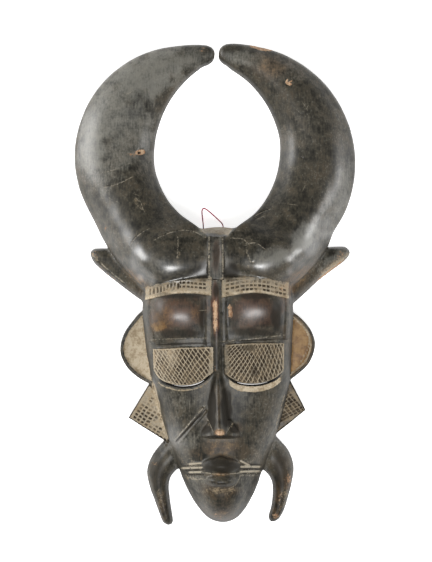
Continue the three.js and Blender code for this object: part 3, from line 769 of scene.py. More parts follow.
def skin_of(values, low, step):
    """The surface where values on a grid cross zero, as points and four-sided faces."""
    inside = values < 0
    spans = [slice(0, -1), slice(1, None)]
    count = sum(
        inside[spans[i], spans[j], spans[k]].astype(np.int8)
        for i in (0, 1) for j in (0, 1) for k in (0, 1)
    )
    crossed = (count > 0) & (count < 8)
    number = np.full(crossed.shape, -1)
    number[crossed] = np.arange(crossed.sum())
    cells = np.argwhere(crossed)
    total = np.zeros(cells.shape)
    hits = np.zeros(len(cells))
    for axis in range(3):
        for near in (0, 1):
            for far in (0, 1):
                corner = np.insert([near, far], axis, 0)
                end = corner + np.eye(3, dtype=int)[axis]
                a = values[tuple((cells + corner).T)]
                b = values[tuple((cells + end).T)]
                cross = (a < 0) != (b < 0)
                t = np.where(cross, a / np.where(cross, a - b, 1), 0)
                place = corner + np.eye(3)[axis] * t[:, None]
                total += place * cross[:, None]
                hits += cross
    points = low + (cells + total / hits[:, None]) * step
    faces = []
    for axis in range(3):
        start = np.moveaxis(inside, axis, 0)
        numbers = np.moveaxis(number, axis, 0)
        changes = np.argwhere(start[:-1, 1:-1, 1:-1] != start[1:, 1:-1, 1:-1])
        i, j, k = changes[:, 0], changes[:, 1] + 1, changes[:, 2] + 1
        ways = ((-1, -1), (0, -1), (0, 0), (-1, 0))
        quad = np.stack([numbers[i, j + a, k + b] for a, b in ways], axis=1)
        turned = start[i, j, k] ^ (axis == 1)
        quad[~turned] = quad[~turned][:, ::-1]
        faces.append(quad)
    return points, np.vstack(faces)


def eased(points, edges):
    """Points moved half way to the middle of their neighbours."""
    count = np.bincount(edges.ravel(), minlength=len(points))[:, None]
    total = np.zeros(points.shape)
    for k in range(3):
        total[:, k] = np.bincount(edges[:, 0], points[edges[:, 1], k], len(points))
        total[:, k] += np.bincount(edges[:, 1], points[edges[:, 0], k], len(points))
    return mix(points, total / np.maximum(count, 1), 0.5)


def slope_of(rule, points, reach=0.2):
    """The direction in which a rule's value grows, at points."""
    slopes = []
    for k in range(3):
        step = np.eye(3)[k] * reach
        ahead, behind = (points + step).T, (points - step).T
        slopes.append((rule(*ahead) - rule(*behind)) / (2 * reach))
    return np.stack(slopes, axis=1)


def settled(rule, points, most=0.8):
    """Points moved onto the surface where a rule is zero, in two steps."""
    for _ in range(2):
        slopes = slope_of(rule, points)
        size = np.maximum((slopes**2).sum(1), 0.05)
        step = np.clip(rule(*points.T) / size, -most, most)
        points = points - slopes * step[:, None]
    return points


# Marks on the front, placed as they show from the camera over the table. Each is x, y, half
# length, half width, turn in degrees and strength.
BARE_WOOD = [
    (-59.6, 105.8, 3.8, 2.2, 8, 1), (-67, 104, 5, 2.4, -12, 0.42), (-82, 80, 10, 3, 12, 0.2),
    (58.8, 160.8, 3.4, 1.7, -24, 0.72), (57.4, 163, 2.6, 1.1, 60, 0.7),
    (60.6, 162.6, 1.9, 0.9, 20, 0.7), (54.4, 157.2, 4, 3.2, 0, 0.26),
    (-9.6, 185.2, 7.2, 4.4, 0, 0.36), (37.6, 189.6, 9, 2.2, -12, 0.85),
    (40, 178.8, 4.8, 6.4, 20, 0.22), (37.6, 166, 6.4, 2.4, 0, 0.2),
    (11.4, -17.4, 2.4, 3.4, 0, 0.62), (12, -23, 2, 4.6, 6, 0.58), (0.2, -25, 2.3, 18, 1, 0.66),
    (0.4, -66, 1.4, 3.5, 0, 0.5), (56, -2, 4, 4, 0, 0.42), (4.2, -118.9, 3.2, 2, 0, 0.7),
    (4, -151.8, 6, 0.9, 0, 0.42), (4.8, -186, 7.2, 2.1, 0, 0.42), (0, -183.6, 1.3, 1, 0, 0.6),
    (58.4, -152.4, 2.4, 9.2, 8, 0.5), (52.8, -172.4, 4, 12, -12, 0.42),
    (48, -185.2, 4, 3.2, 0, 0.52), (-48, -142.8, 4, 2.4, 0, 0.4),
    (-48.8, -156.4, 2.1, 7.2, 8, 0.33), (-41.6, -178.8, 4, 10.4, 15, 0.32),
    (-96, 24.4, 3.2, 3.2, 0, 0.42), (100, 23.6, 4.8, 2.4, 35, 0.45), (90, 9, 17, 1.1, 39, 0.66),
    (-87, 9, 13, 1, -40, 0.5), (-72.8, -43.6, 1.6, 4.8, 15, 0.35),
    (-86.4, 45.2, 3.2, 8.8, -25, 0.3),
]
OCHRE_WEAR = [
    (4.2, -118.4, 4.6, 3.4, 0, 0.8), (3.4, -98, 2, 16, 0, 0.3), (-7.2, -114.8, 4.6, 4, 0, 0.5),
    (16.8, -114.8, 4.6, 4, 0, 0.5), (6, -131, 17, 10, 0, 0.5), (-6, -112, 3, 5, 0, 0.4),
    (-12, -136, 8, 5, 0, 0.4), (4.6, -151.8, 9, 1.8, 0, 0.6), (5, -166, 15, 6, 0, 0.45),
    (4.8, -184, 10, 4, 0, 0.5), (-45, -34, 7, 4.4, 10, 0.8), (-41, -26, 9, 9, 0, 0.55),
    (-16, -23, 6, 6, 0, 0.5), (-7, -20, 3, 5, 0, 0.4), (-64, 6, 15, 4, -38, 0.6),
    (66, 5, 17, 6, 38, 0.6), (92, 14, 14, 3.5, 38, 0.55), (50, -170, 6, 18, -12, 0.5),
    (56, -150, 6, 12, 8, 0.4), (-42, -180, 4, 9, 12, 0.4), (44, 174, 15, 10, -20, 0.5),
    (57, -3, 7, 7, 0, 0.7), (-58, -6, 5, 8, 0, 0.4), (-62, -80, 6, 6, 0, 0.3),
    (-2, 46, 14, 5, 0, 0.3), (66, -42, 11, 24, 0, 0.42), (88, 8, 16, 3, 38, 0.45),
]
RED_WEAR = [
    (-29, -23, 25, 18, 0, 0.62), (-29, -25, 12, 8, 0, 0.75), (32, -22, 26, 18, 0, 0.62),
    (31, -30, 18, 7, 0, 0.5), (-30, -31, 16, 7, 0, 0.5), (26, -20, 11, 8, 0, 0.72),
    (0.4, -22, 3.2, 24, 1, 0.95), (43, 172, 10, 8, -20, 0.4), (4.8, -178, 16, 8, 0, 0.35),
    (58, -158, 4, 10, 0, 0.5), (-60, 93, 9, 6, 0, 0.3), (62, 128, 10, 16, 0, 0.25),
    (1, 22, 4, 16, 0, 0.6), (-53, -30, 3, 20, 0, 0.3),
]
# Grey dust on the horns, and painted sheen: highlight bands along the roots of the horns,
# soft highlights on the cheeks, the chin and below the pads, and light strips down the face's
# sides.
DUST_FILM_AND_PAINTED_SHEEN = [
    (-86, 140, 20, 32, -22, 0.72), (-98, 112, 11, 24, 0, 0.8), (-92, 92, 14, 18, 0, 0.5),
    (-55, 168, 36, 18, 22, 0.85), (-20, 180, 18, 8, 5, 0.6), (26, 180, 16, 7, -8, 0.6),
    (72, 130, 22, 26, -30, 0.22), (-68, 120, 20, 34, -12, 0.6), (48, 172, 22, 10, -24, 0.42),
    (0.8, 20, 6.6, 19, 0, 0.6), (101, 70, 7, 34, -12, 0.55), (84, 40, 12, 14, -40, 0.3),
    (-24, -92, 14, 9, 0, 0.34), (-24, -124, 12, 8, 0, 0.42), (32, -92, 14, 12, 0, 0.28),
    (40, -120, 10, 22, 10, 0.22), (-32, -39, 20, 3, 0, 0.32), (32, -38, 20, 3, 0, 0.28),
    (-16, -160, 9, 12, -10, 0.36), (24, -165, 8, 12, 20, 0.32), (0, 44, 14, 6, 0, 0.9),
    (-42, 15, 16, 8, -8, 0.4), (46, 22, 17, 8, 8, 0.62), (52, 23, 12, 4.4, 20, 0.95),
    (69, 32, 13, 4.8, 40, 1.05), (72, 38, 19, 8, 44, 0.7), (93, 17, 16, 7, 38, 0.6),
    (90, 62, 6, 18, -18, 0.5), (-56, -30, 3, 22, 0, 0.4), (60, -28, 3, 24, 0, 0.4),
    (-48, -100, 3.4, 26, 14, 0.5), (50, -106, 3, 26, -14, 0.4),
]
CLAY_SMEARS = [
    (1, 44.2, 12, 5, 0, 0.85), (3.6, -165.4, 12, 4, 0, 0.5), (-22, -153.5, 7, 3, -12, 0.48),
    (-20, -142, 11, 8, 0, 0.4), (27, -141, 11, 8, 0, 0.38), (12, -135, 12, 6, 0, 0.3),
    (26, 14, 1.6, 9, 12, 0.42), (-29, 24, 1.8, 9, -5, 0.42), (-8.5, 38, 6, 2.2, -30, 0.4),
    (-45, -100, 1.6, 23, 12.5, 0.85), (51.5, -104, 1.1, 24, -14, 0.5), (-62, 68, 6, 10, 30, 0.4),
    (26, 36, 12, 4, -10, 0.36), (46, 22, 14, 3, 15, 0.36), (-94, 20, 8, 2, -45, 0.45),
    (104, 22, 8, 2, 38, 0.5), (95, 15, 13, 3.4, 38, 0.6), (-6, -110, 1, 5, 20, 0.5),
    (14, -112, 1, 4, -25, 0.5), (64, 88, 9, 22, 0, 0.3), (72, 120, 10, 12, 0, 0.28),
    (54, -172, 5, 16, -12, 0.46), (-44, -170, 5, 18, 12, 0.43),
]
# Dark places, mostly painted shade: under the brows and the nose, above the lids, in the nostrils,
# mouth, scar grooves and the horn's chip, on the nose's flanks and round and below the pads;
# the rest darken worn places on the right lid and the legs.
DARK_WEAR_AND_PAINTED_SHADE = [
    (-60.3, 105.6, 1.3, 1, 20, 1.2), (-45, -24, 4, 16, 0, 0.5), (-10, -26, 3, 16, 0, 0.75),
    (49, -24, 4.4, 16, 0, 0.85), (15.5, -27, 3.4, 13, 0, 0.5), (-29, -9, 22, 2.6, 0, 0.7),
    (30, -9, 22, 2.6, 0, 0.7), (3.2, -143, 8, 5, 0, 0.8), (27, -51, 5.5, 3, 0, 0.8),
    (31, -69.5, 3, 5, 0, 0.7), (36, -105, 11, 16, 0, 0.3), (0.6, -6, 2.4, 6, 0, 0.8),
    (0.4, -58, 1.8, 14, 0, 0.5), (-11.5, -104.4, 7, 0.7, 47, 1.3),
    (-18.7, -112.1, 7, 0.7, 47, 1.3), (-26, -119.8, 7, 0.7, 47, 1.3), (-47, -152, 6, 20, 0, 0.6),
    (53, -150, 6, 20, 0, 0.6), (-17, -145, 8, 0.8, 2, 1.1), (-17, -148.4, 8, 0.8, 2, 1.1),
    (-16, -152, 7, 0.8, 0, 1), (28, -143.9, 8, 0.7, 0, 0.9), (28.4, -147.8, 8, 0.9, 0, 1.1),
    (28, -151.3, 7, 0.7, 0, 1), (4, -121.8, 14, 1, 0, 1.2), (-7, -116, 5, 4, 20, 1),
    (15, -115, 4.4, 4, -20, 1), (-2.8, -98, 3, 18, 0, 1.3), (9, -98, 4, 18, 0, 1.2),
    (4, -146, 13, 4.4, 0, 1.1), (-10, 10, 6, 8, 0, 0.8), (0.9, 22, 2.6, 13, 0, 0.6),
    (13, 10, 6, 8, 0, 0.8), (-29, -39, 20, 4, 0, 0.7), (31, -38, 20, 4, 0, 0.7),
    (-25, -47.4, 22, 0.7, 2, 1.3), (31, -44.6, 22, 0.7, 2, 1.3),
]
POLISHED = [
    (-31, -24, 14, 10, 0, 0.42), (33, -21, 14, 10, 0, 0.42), (-42, 15, 26, 13, -12, 1.2),
    (46, 19, 20, 10, 8, 1.3), (74, 38, 24, 11, 42, 1.3), (94, 66, 11, 24, -15, 0.7),
    (-82, 110, 40, 95, -8, 0.36), (-40, 172, 50, 22, 15, 0.3), (84, 100, 36, 95, 8, 0.3),
    (44, 172, 46, 22, -15, 0.24), (-28, -122, 7, 12, 25, 0.5),
]
RUBBED_HATCHING = [
    (-33, -58, 5.5, 8, 0, 0.9), (-11, -73, 6, 3, 20, 0.7), (27, -51.5, 6, 4, 0, 0.9),
    (31, -69.5, 4, 5, 0, 0.8),
]
# Scratches: points along each, width and strength
SCRATCHES = [
    ([(-87.2, 78), (-77.6, 80.4), (-66.4, 86)], 0.7, 0.9), ([(-64, 70), (-60.5, 66.5)], 0.7, 0.7),
    ([(-66, 73), (-61, 71)], 0.6, 0.6), ([(-60, 67.5), (-58, 61.5), (-56.5, 58.5)], 0.7, 0.8),
    ([(-63, 64), (-58.5, 60)], 0.6, 0.5),
    ([(-68, 31.6), (-64, 37.2), (-56.8, 42.8), (-53.6, 44.4)], 0.7, 0.75),
    ([(-48, 36), (-40, 40), (-32, 42.6), (-24, 43.6), (-16, 42), (-8.8, 38)], 0.7, 0.75),
    ([(12.8, 37.2), (22.4, 36.4), (26.4, 33.2), (32.8, 33.2), (40, 28.4)], 0.8, 0.9),
    ([(24.8, 33.2), (25.6, 26), (28.8, 18), (31.2, 18)], 1.3, 0.8),
    ([(-29.6, 38), (-29.6, 30.8), (-30.4, 22)], 1.2, 0.7),
    ([(32, 54.8), (37.6, 58), (44, 60.4)], 0.7, 0.7), ([(33, 52), (40, 55.4)], 0.6, 0.5),
    ([(56.8, 64.4), (66.4, 63.6)], 0.6, 0.6), ([(70.4, 145.2), (75.2, 137.2)], 0.5, 0.4),
    ([(64, 141), (70.4, 136), (75, 144)], 0.5, 0.35),
    ([(-91.2, 89.2), (-80, 92), (-68, 97.2)], 0.6, 0.45), ([(-72, 151.6), (-67.2, 154)], 0.6, 0.5),
    ([(-86, 70), (-78, 66)], 0.5, 0.35), ([(70, 88), (72, 80), (69, 73)], 0.5, 0.35),
    ([(60, 120), (62, 108)], 0.5, 0.3), ([(-98.6, 24), (-86, 12), (-72, 0.5)], 0.9, 0.8),
    ([(105, 22.5), (95, 14), (84, 6.5)], 1, 0.75), ([(-5.6, -108.4), (-1.6, -118)], 0.7, 0.7),
    ([(13.6, -111.6), (9.6, -118)], 0.7, 0.7), ([(-8, -20.6), (-13, -21)], 0.8, 0.6),
    ([(-8.4, -97.6), (-20, -110.4), (-31.4, -123.2)], 0.9, 1),
    ([(-20.4, -143.6), (-11.6, -143)], 1.7, 1.35), ([(-25.6, -146.9), (-11.2, -146.5)], 1.7, 1.35),
    ([(-20.4, -150.3), (-11.6, -150)], 1.7, 1.35),
    ([(-21, -154.2), (-15, -155.6), (-8, -155.2)], 1.8, 0.7),
    ([(20.8, -141.2), (27.6, -144.8)], 1.7, 1.35), ([(21.2, -145.9), (35.6, -145.9)], 1.7, 1.35),
    ([(21.2, -149.7), (35.6, -149.6)], 1.7, 1.35), ([(21.6, -152.8), (33, -152.8)], 1.2, 0.6),
    ([(5.8, -45.7), (26.4, -43.9), (55, -40.5)], 0.9, 0.75),
    ([(-51.2, -44.4), (-30, -43.2), (-8, -42.8)], 0.8, 0.5),
    ([(-12, -150), (4.4, -151.8), (21, -150.6)], 0.8, 0.8),
    ([(70.5, -22), (75.2, -38), (74.6, -50), (68.5, -62)], 1.6, 0.9),
    ([(20.4, -152.4), (17, -160), (11, -163.4)], 0.7, 0.5), ([(-4.9, 38), (-4.7, 5)], 1.2, 0.95),
    ([(6.1, 38), (6.3, 5)], 1.2, 0.95), ([(-5.2, 3.4), (6.8, 3.4)], 0.8, 0.7),
]
# Small dents: x, y, radius, depth
DENTS = [
    (-60.3, 105.6, 1.5, 2), (-58.9, 106.2, 4, 0.7), (57.6, 160.8, 2.4, 0.9),
    (69.6, 101.6, 1.4, 0.5), (37.6, 190.6, 5, 0.5), (-46.4, -35, 6, 0.3),
]

LARGE = Speckle(14, 11)
MIDDLE = Speckle(5, 12)
SMALL = Speckle(2, 13)


def as_seen(x, y, z):
    """Where a point shows from the camera, brought down to the table."""
    reach = EYE[2] / (EYE[2] - z)
    return EYE[0] + (x - EYE[0]) * reach, EYE[1] + (y - EYE[1]) * reach


def spots(places, x, y):
    """How strongly the places of a list show, fading out at their edges."""
    total = np.zeros(x.shape)
    ragged = 0.3 * MIDDLE(x, y)
    for cx, cy, long, wide, turn, strength in places:
        near = (np.abs(x - cx) < 2.2 * max(long, wide)) & (np.abs(y - cy) < 2.2 * max(long, wide))
        dx, dy = x[near] - cx, y[near] - cy
        c, s = math.cos(math.radians(turn)), math.sin(math.radians(turn))
        far = np.hypot((dx * c + dy * s) / long, (dy * c - dx * s) / wide)
        shown = strength * ramp(1.6, 0.5, far + ragged[near])
        total[near] = np.maximum(total[near], shown)
    return total


def beside(line, x, y):
    """The distance to a line, above zero on its left and below zero on its right."""
    best = np.full(x.shape, 1e9)
    side = np.ones(x.shape)
    for a, b in zip(line[:-1], line[1:]):
        run = b - a
        t = np.clip(((x - a[0]) * run[0] + (y - a[1]) * run[1]) / (run @ run), 0, 1)
        gap = np.hypot(x - a[0] - t * run[0], y - a[1] - t * run[1])
        nearer = gap < best
        best = np.where(nearer, gap, best)
        side = np.where(nearer, np.sign((y - a[1]) * run[0] - (x - a[0]) * run[1]), side)
    return best * np.where(side < 0, -1, 1)


def scratch_marks(x, y):
    """The distance across the nearest scratch in its half widths, and its strength."""
    across = np.full(x.shape, 9.0)
    strong = np.zeros(x.shape)
    for points, width, strength in SCRATCHES:
        line = smooth_line(points, 4) if len(points) > 2 else np.array(points, float)
        low, high = line.min(0) - 5, line.max(0) + 5
        near = (x > low[0]) & (x < high[0]) & (y > low[1]) & (y < high[1])
        gap = beside(line, x[near], y[near])
        nearer = np.abs(gap) < np.abs(across[near] * width / 2)
        across[near] = np.where(nearer, gap / (width / 2), across[near])
        shown = strength * ramp(2.6, 0.9, np.abs(gap))
        strong[near] = np.where(nearer, shown, strong[near])
    return across, strong


def on_flange(z):
    """1 at the height of the flanges, 0 above them."""
    return ramp(FLANGE_HEIGHT + 2, FLANGE_HEIGHT + 1, z)


# Each rule for hatching gives where its small pits are along and across, in periods, how wide the
# ridges between them are along and across, as a share of a period, and how deep they are cut.

# The two ways in which rows run on a lid: how they lean, how they spread down the lid, how many
# of them there are to a millimetre, and how that grows along the lid
LID_ROWS = {
    "left": [(-0.72, 0, 0.249, -0.0015), (0.752, -0.0108, 0.167, -0.00096)],
    "right": [(1.4875, 0.0244, 0.33, 0.0012), (-0.72, -0.0065, 0.26, 0.0007)],
}


def fanned(x, down, lean, spread, pace, growth):
    """The number of the row at each point of a lid, where the rows fan out."""
    t = (x + lean * down) / (1 + spread * down)
    return t * (pace + growth * t)


def lid_hatching(side, x, y, z):
    patch = LID_PATCHES[side]
    down = edge_height(patch.top, x) - y
    inside = -patch.outside(x, y)
    u, _ = patch.place(x, y)
    along, across = (fanned(x, down, *row) for row in LID_ROWS[side])
    wave = 0.35 * MIDDLE(x, y) + 0.14 * SMALL(x, y)
    rubbed = spots(RUBBED_HATCHING, *as_seen(x, y, z))
    cut = ramp(0.5, 1.1, inside) * (1 - 0.35 * rubbed)
    if side == "left":
        cut = cut * mix(0.35, 1, ramp(0.96, 0.9, u)) * mix(0.6, 1, ramp(-36, -20, x))
    else:
        cut = cut * mix(0.4, 1, ramp(0.03, 0.1, u)) * mix(0.8, 1, ramp(24, 34, x))
    cut = cut * np.clip(0.95 + 0.25 * LARGE(x, y) + 0.2 * MIDDLE(x + 40, y), 0.3, 1)
    right = ramp(18, 40, x)
    ridges = (0.29 - 0.07 * right, 0.14 + 0.1 * right)
    return along + wave / 3, across + wave / 5, *ridges, cut


def brow_hatching(side, x, y, _):
    patch = BROW_PATCHES[side]
    above = y - edge_height(patch.bottom, x)
    inside = -patch.outside(x, y)
    wave = 0.3 * MIDDLE(x, y)
    shown = ramp(0.5, 1.3, inside)
    if side == "left":
        thick = ramp(-26, -29, x)
        along = np.where(x < -27, x / 2.7, x / 3.2) + 0.5 * wave
        across = np.where(x < -27, (above - 5.2) / 6.4, (above - 4.9) / 3.0) + 0.5 + 0.15 * wave
        ridge_along, ridge_across = mix(0.3, 0.4, thick), mix(0.5, 0.24, thick)
        rows = ramp(2.4, 3.2, above) * mix(0.55, 1, ramp(10.6, 9.4, above)) * ramp(13, 12, above)
        cut = shown * rows * ramp(-5, -8, x) * ramp(-53, -49, x) * mix(0.9, 0.6, thick)
    else:
        near = ramp(21, 19.5, x)
        along = np.where(x < 20, (x + 0.1) / 3.85, (x - 0.9) / 3.2) + 0.4 * wave * (1 - near)
        across = (above - 2.7) / 3.0 + 0.5 + 0.1 * wave
        ridge_along, ridge_across = 0.26, 0.46
        rows = ramp(0.9, 1.5, above) * ramp(7.3, 6.8, above)
        rows = rows * np.where(above < 4.2, 1, mix(0.6, 1, np.maximum(near, ramp(33, 37, x))))
        faint = 0.5 * ramp(6.9, 7.4, above) * ramp(13, 12, above)
        cut = shown * np.maximum(rows, faint) * ramp(7.5, 9, x) * ramp(58, 52, x)
    cut = cut * np.clip(0.8 + 0.5 * MIDDLE(x + 20, y) + 0.4 * SMALL(x, y + 9), 0.15, 1)
    return along, across, ridge_along, ridge_across, cut


def square_places(side, x, y):
    """How far a point is from a square's outer corner, along its lower and its upper edge."""
    corners = SQUARE_OUTLINES[side]
    ways = [corner - corners[1] for corner in (corners[2], corners[0])]
    return [
        ((x - corners[1, 0]) * way[0] + (y - corners[1, 1]) * way[1]) / np.linalg.norm(way)
        for way in ways
    ]


def square_hatching(side, x, y, z):
    lower, upper = square_places(side, x, y)
    wave = 0.3 * MIDDLE(x, y)
    if side == "left":
        cut = ramp(2, 3, lower) * ramp(18, 15, lower) * ramp(1.4, 2, upper) * ramp(11, 9, upper)
        faint = 0.6 * ramp(2, 3, lower) * ramp(36, 30, lower) * ramp(28, 20, upper)
        rim = 0.9 * ramp(5, 7, lower) * ramp(1.4, 0.9, upper)
        cut = np.maximum(cut, np.maximum(faint * np.clip(0.9 + 1.2 * MIDDLE(x, y), 0, 1), rim))
        along, across = lower / 3.7 - 0.62 + 0.4 * wave, upper / 2.9 - 0.55 + 0.4 * wave
        return along, across, 0.36, 0.46, cut * on_flange(z)
    cut = ramp(0.8, 1.4, lower) * ramp(30, 22, lower) * ramp(0.8, 1.4, upper) * ramp(22, 15, upper)
    cut = cut * np.clip(0.95 + 0.3 * MIDDLE(x, y), 0.4, 1)
    ridge = 0.06 + 0.24 * ramp(17, 12, lower)
    return lower / 3.2 + 0.3 * wave, upper / 2.5 + 0.3 * wave, ridge, 0.3, cut * on_flange(z)


HATCH_MARKS = ("hatch_along", "hatch_across", "ridge_along", "ridge_across", "hatched")
SPOTS = {
    "smear": CLAY_SMEARS, "bare": BARE_WOOD, "ochre": OCHRE_WEAR, "red": RED_WEAR,
    "film_and_sheen": DUST_FILM_AND_PAINTED_SHEEN, "dark": DARK_WEAR_AND_PAINTED_SHADE, "polish": POLISHED,
}
HATCHED = [
    (lid_hatching, {side: patch.outline for side, patch in LID_PATCHES.items()}),
    (brow_hatching, {side: patch.outline for side, patch in BROW_PATCHES.items()}),
    (square_hatching, SQUARE_OUTLINES),
]


def all_hatching(x, y, z):
    """The hatching of the lids, brows and square flanges in one."""
    total = [np.full(x.shape, value) for value in (0.5, 0.5, 0.3, 0.3, 0.0)]
    for rule, outlines in HATCHED:
        for side, outline in outlines.items():
            near = outside_by(outline, x, y) < 2.0
            for values, found in zip(total, rule(side, x[near], y[near], z[near])):
                values[near] = found
    return total


def pit_depth(along, across, ridge_along, ridge_across, cut):
    """How deep the hatching is cut at each point, as a share."""
    def between_ridges(phase, ridge):
        return ramp(1 - ridge * 0.7, 1 - ridge * 1.3, np.abs((phase % 1) - 0.5) * 2)

    return between_ridges(along, ridge_along) * between_ridges(across, ridge_across) * cut


def clay_places(x, y, z):
    """The distance inside the nearest field of clay, and how thickly it is laid there."""
    inside = np.full(x.shape, -9.0)
    thick = np.zeros(x.shape)

    def lay(distance, strength):
        nonlocal inside, thick
        thick = np.where(distance > inside, strength, thick)
        inside = np.maximum(inside, distance)

    for side, patch in LID_PATCHES.items():
        u, _ = patch.place(x, y)
        lay(-patch.outside(x, y), 0.6 if side == "left" else 0.52 - 0.2 * ramp(0.12, 0.04, u))
        below = edge_height(patch.bottom, x) - y
        low, high, strength = (3.6, 4.6, 0.5) if side == "left" else (2.2, 6.8, 0.95)
        ends = 22 * np.minimum(u - 0.08, 0.95 - u)
        lay(np.minimum(np.minimum(below - low, high - below), ends), strength)
    for patch in BROW_PATCHES.values():
        _, v = patch.place(x, y)
        top = ramp(0.35, 0, v)
        inner = -patch.outside(x, y) + 0.2 + (0.3 + 0.8 * SMALL(x, y)) * top
        lay(inner, 0.5 - 0.12 * top + 0.4 * ramp(0.75, 1, v))
    under = FLANGE_HEIGHT + 1.5 - z
    for side, outline in SQUARE_OUTLINES.items():
        lower, upper = square_places(side, x, y)
        near = ramp(22, 14, lower) * ramp(22, 15, upper)
        strength = 0.52 if side == "left" else 0.1 + 0.26 * near
        lay(np.minimum(-outside_by(outline, x, y) - 0.4, under), strength)
    for side, strength in (("left", 0.75), ("right", 0.1)):
        inner = -outside_by(EAR_OUTLINES[side], x, y) - EAR_RIM + 0.3
        lay(np.minimum(inner, under), np.where(inner < 1.1, 1.0, strength))
    return inside, thick


def dark_rims(x, y):
    """The dark line round the square flanges."""
    rims = np.zeros(x.shape)
    for outline in SQUARE_OUTLINES.values():
        within_edge = -outside_by(outline, x, y)
        rims = np.maximum(rims, ramp(-0.5, 0, within_edge) * ramp(1.5, 0.7, within_edge))
    return 1.2 * rims


def dark_slits(x, y, z):
    """Painted shade along the slits under the lids: a dark line over the walls and edges of each.
    """
    slits = np.zeros(x.shape)
    for patch in LID_PATCHES.values():
        u, _ = patch.place(x, y)
        below = edge_height(patch.bottom, x) - y
        along_lid = ramp(0.04, 0.16, u) * ramp(0.98, 0.9, u) * ramp(12, 16, z)
        slits = np.maximum(slits, along_lid * ramp(-0.7, -0.2, below) * ramp(2.7, 2.0, below))
    return slits


def marks_of(x, y, z):
    """What shows on the front at each place."""
    seen = as_seen(x, y, z)
    flange = on_flange(z)
    marks = dict(zip(HATCH_MARKS, all_hatching(x, y, z)))
    marks.update({name: spots(places, *seen) for name, places in SPOTS.items()})
    inside_clay, marks["clay"] = clay_places(x, y, z)
    marks["clay_inside"] = np.clip(inside_clay, -4, 4)
    scratch_across, marks["scratch"] = scratch_marks(*seen)
    marks["scratch_across"] = np.clip(scratch_across, -9, 9)
    right_ear = flange * ramp(1, 3.5, -outside_by(EAR_OUTLINES["right"], x, y))
    right_square = ramp(0, 2, -outside_by(SQUARE_OUTLINES["right"], x, y)) * flange
    marks["ochre"] = np.maximum(np.maximum(marks["ochre"], right_ear), 0.45 * right_square)
    marks["dark"] = np.maximum(marks["dark"], flange * dark_rims(x, y))
    marks["slit"] = dark_slits(x, y, z)
    return marks


def in_zone(zone, x, y):
    left, right, low, high = zone
    return (x > left) & (x < right) & (y > low) & (y < high)


def fineness(x, y, z):
    """How many times faces are split at a place: twice in hatching, once over the face."""
    seen = as_seen(x, y, z)
    low = z < FLANGE_HEIGHT + 2
    squares = [outside_by(outline, x, y) for outline in SQUARE_OUTLINES.values()]
    ears = [outside_by(outline, x, y) for outline in EAR_OUTLINES.values()]
    twice = np.minimum.reduce([
        np.where(low, np.minimum(*squares), 1e9),
        *[patch.outside(x, y) for patch in (*LID_PATCHES.values(), *BROW_PATCHES.values())],
        *[away_from(np.array(points, float), *seen)[0] for points, _, _ in SCRATCHES],
        *[np.hypot(seen[0] - cx, seen[1] - cy) - radius for cx, cy, radius, _ in DENTS],
        *[away_from(np.array(scar, float), x, y)[0] - 1.5 for scar in SCARS],
    ])
    once = in_zone(FACE_ZONE, x, y) & (z > FACE_FROM)
    once |= in_zone(CREST_ZONE, x, y) | (low & (np.minimum(*ears) < 1)) | (twice < 2.5)
    return np.where(twice < 0.6, 2, np.where(once, 1, 0))


def placed(name, data):
    """A new object in the scene."""
    made = bpy.data.objects.new(name, data)
    bpy.context.scene.collection.objects.link(made)
    return made


def closed_mesh(name, points, faces):
    """A mesh whose faces all look outward."""
    mesh = bpy.data.meshes.new(name)
    mesh.from_pydata(points.tolist(), [], faces)
    work = bmesh.new()
    work.from_mesh(mesh)
    bmesh.ops.recalc_face_normals(work, faces=work.faces[:])
    work.to_mesh(mesh)
    work.free()
    return mesh


def read_all(items, name, width=3, kind=float):
    """One value of every point, edge or face of a mesh, a row for each."""
    values = np.empty(len(items) * width, kind)
    items.foreach_get(name, values)
    return values.reshape(-1, width)


def put_points(mesh, points):
    mesh.vertices.foreach_set("co", points.ravel())
    mesh.update()


def applied(piece):
    """Replaces a piece's mesh by what its modifiers make of it."""
    drawn = piece.evaluated_get(bpy.context.evaluated_depsgraph_get())
    mesh = bpy.data.meshes.new_from_object(drawn)
    piece.modifiers.clear()
    piece.data = mesh
    return mesh


def split_faces(mesh, chosen):
    """Splits chosen faces in four."""
    work = bmesh.new()
    work.from_mesh(mesh)
    work.faces.ensure_lookup_table()
    edges = {edge for i in np.flatnonzero(chosen) for edge in work.faces[i].edges}
    bmesh.ops.subdivide_edges(work, edges=list(edges), cuts=1, use_grid_fill=True)
    work.to_mesh(mesh)
    work.free()
    mesh.update()


def first_skin(carving):
    """The carving's whole surface in faces of one size."""
    low = np.array(SKIN_LOW)
    count = np.ceil((np.array(SKIN_HIGH) - low) / SKIN_STEP).astype(int)
    x, y, z = (low[k] + np.arange(count[k]) * SKIN_STEP for k in range(3))
    x, y = np.meshgrid(x, y, indexing="ij")
    values = carving.outside(x, y, np.broadcast_to(z, (*x.shape, len(z))))
    points, faces = skin_of(values, low, SKIN_STEP)
    mesh = bpy.data.meshes.new("mask_carving")
    mesh.from_pydata(points.tolist(), [], faces.tolist())
    mesh.update()
    edges = read_all(mesh.edges, "vertices", 2, int)
    for _ in range(2):
        points = settled(carving.outside, eased(points, edges))
    put_points(mesh, points)
    return mesh, points


def slit_cutter(patch):
    """A thin curved slab under an eyelid."""
    left, right = patch.top[0][0], patch.top[-1][0]
    u = np.linspace(0, 1, 33)
    x = mix(left, right, mix(*SLIT_ENDS, u))
    wide = SLIT_WIDTH / 2 * mix(0.3, 1, np.sqrt(1 - np.abs(2 * u - 1) ** 3))
    middle = edge_height(patch.bottom, x) - SLIT_WIDTH / 2
    return prism(np.stack([x, middle + wide], 1), np.stack([x, middle - wide], 1), *SLIT_HEIGHTS)


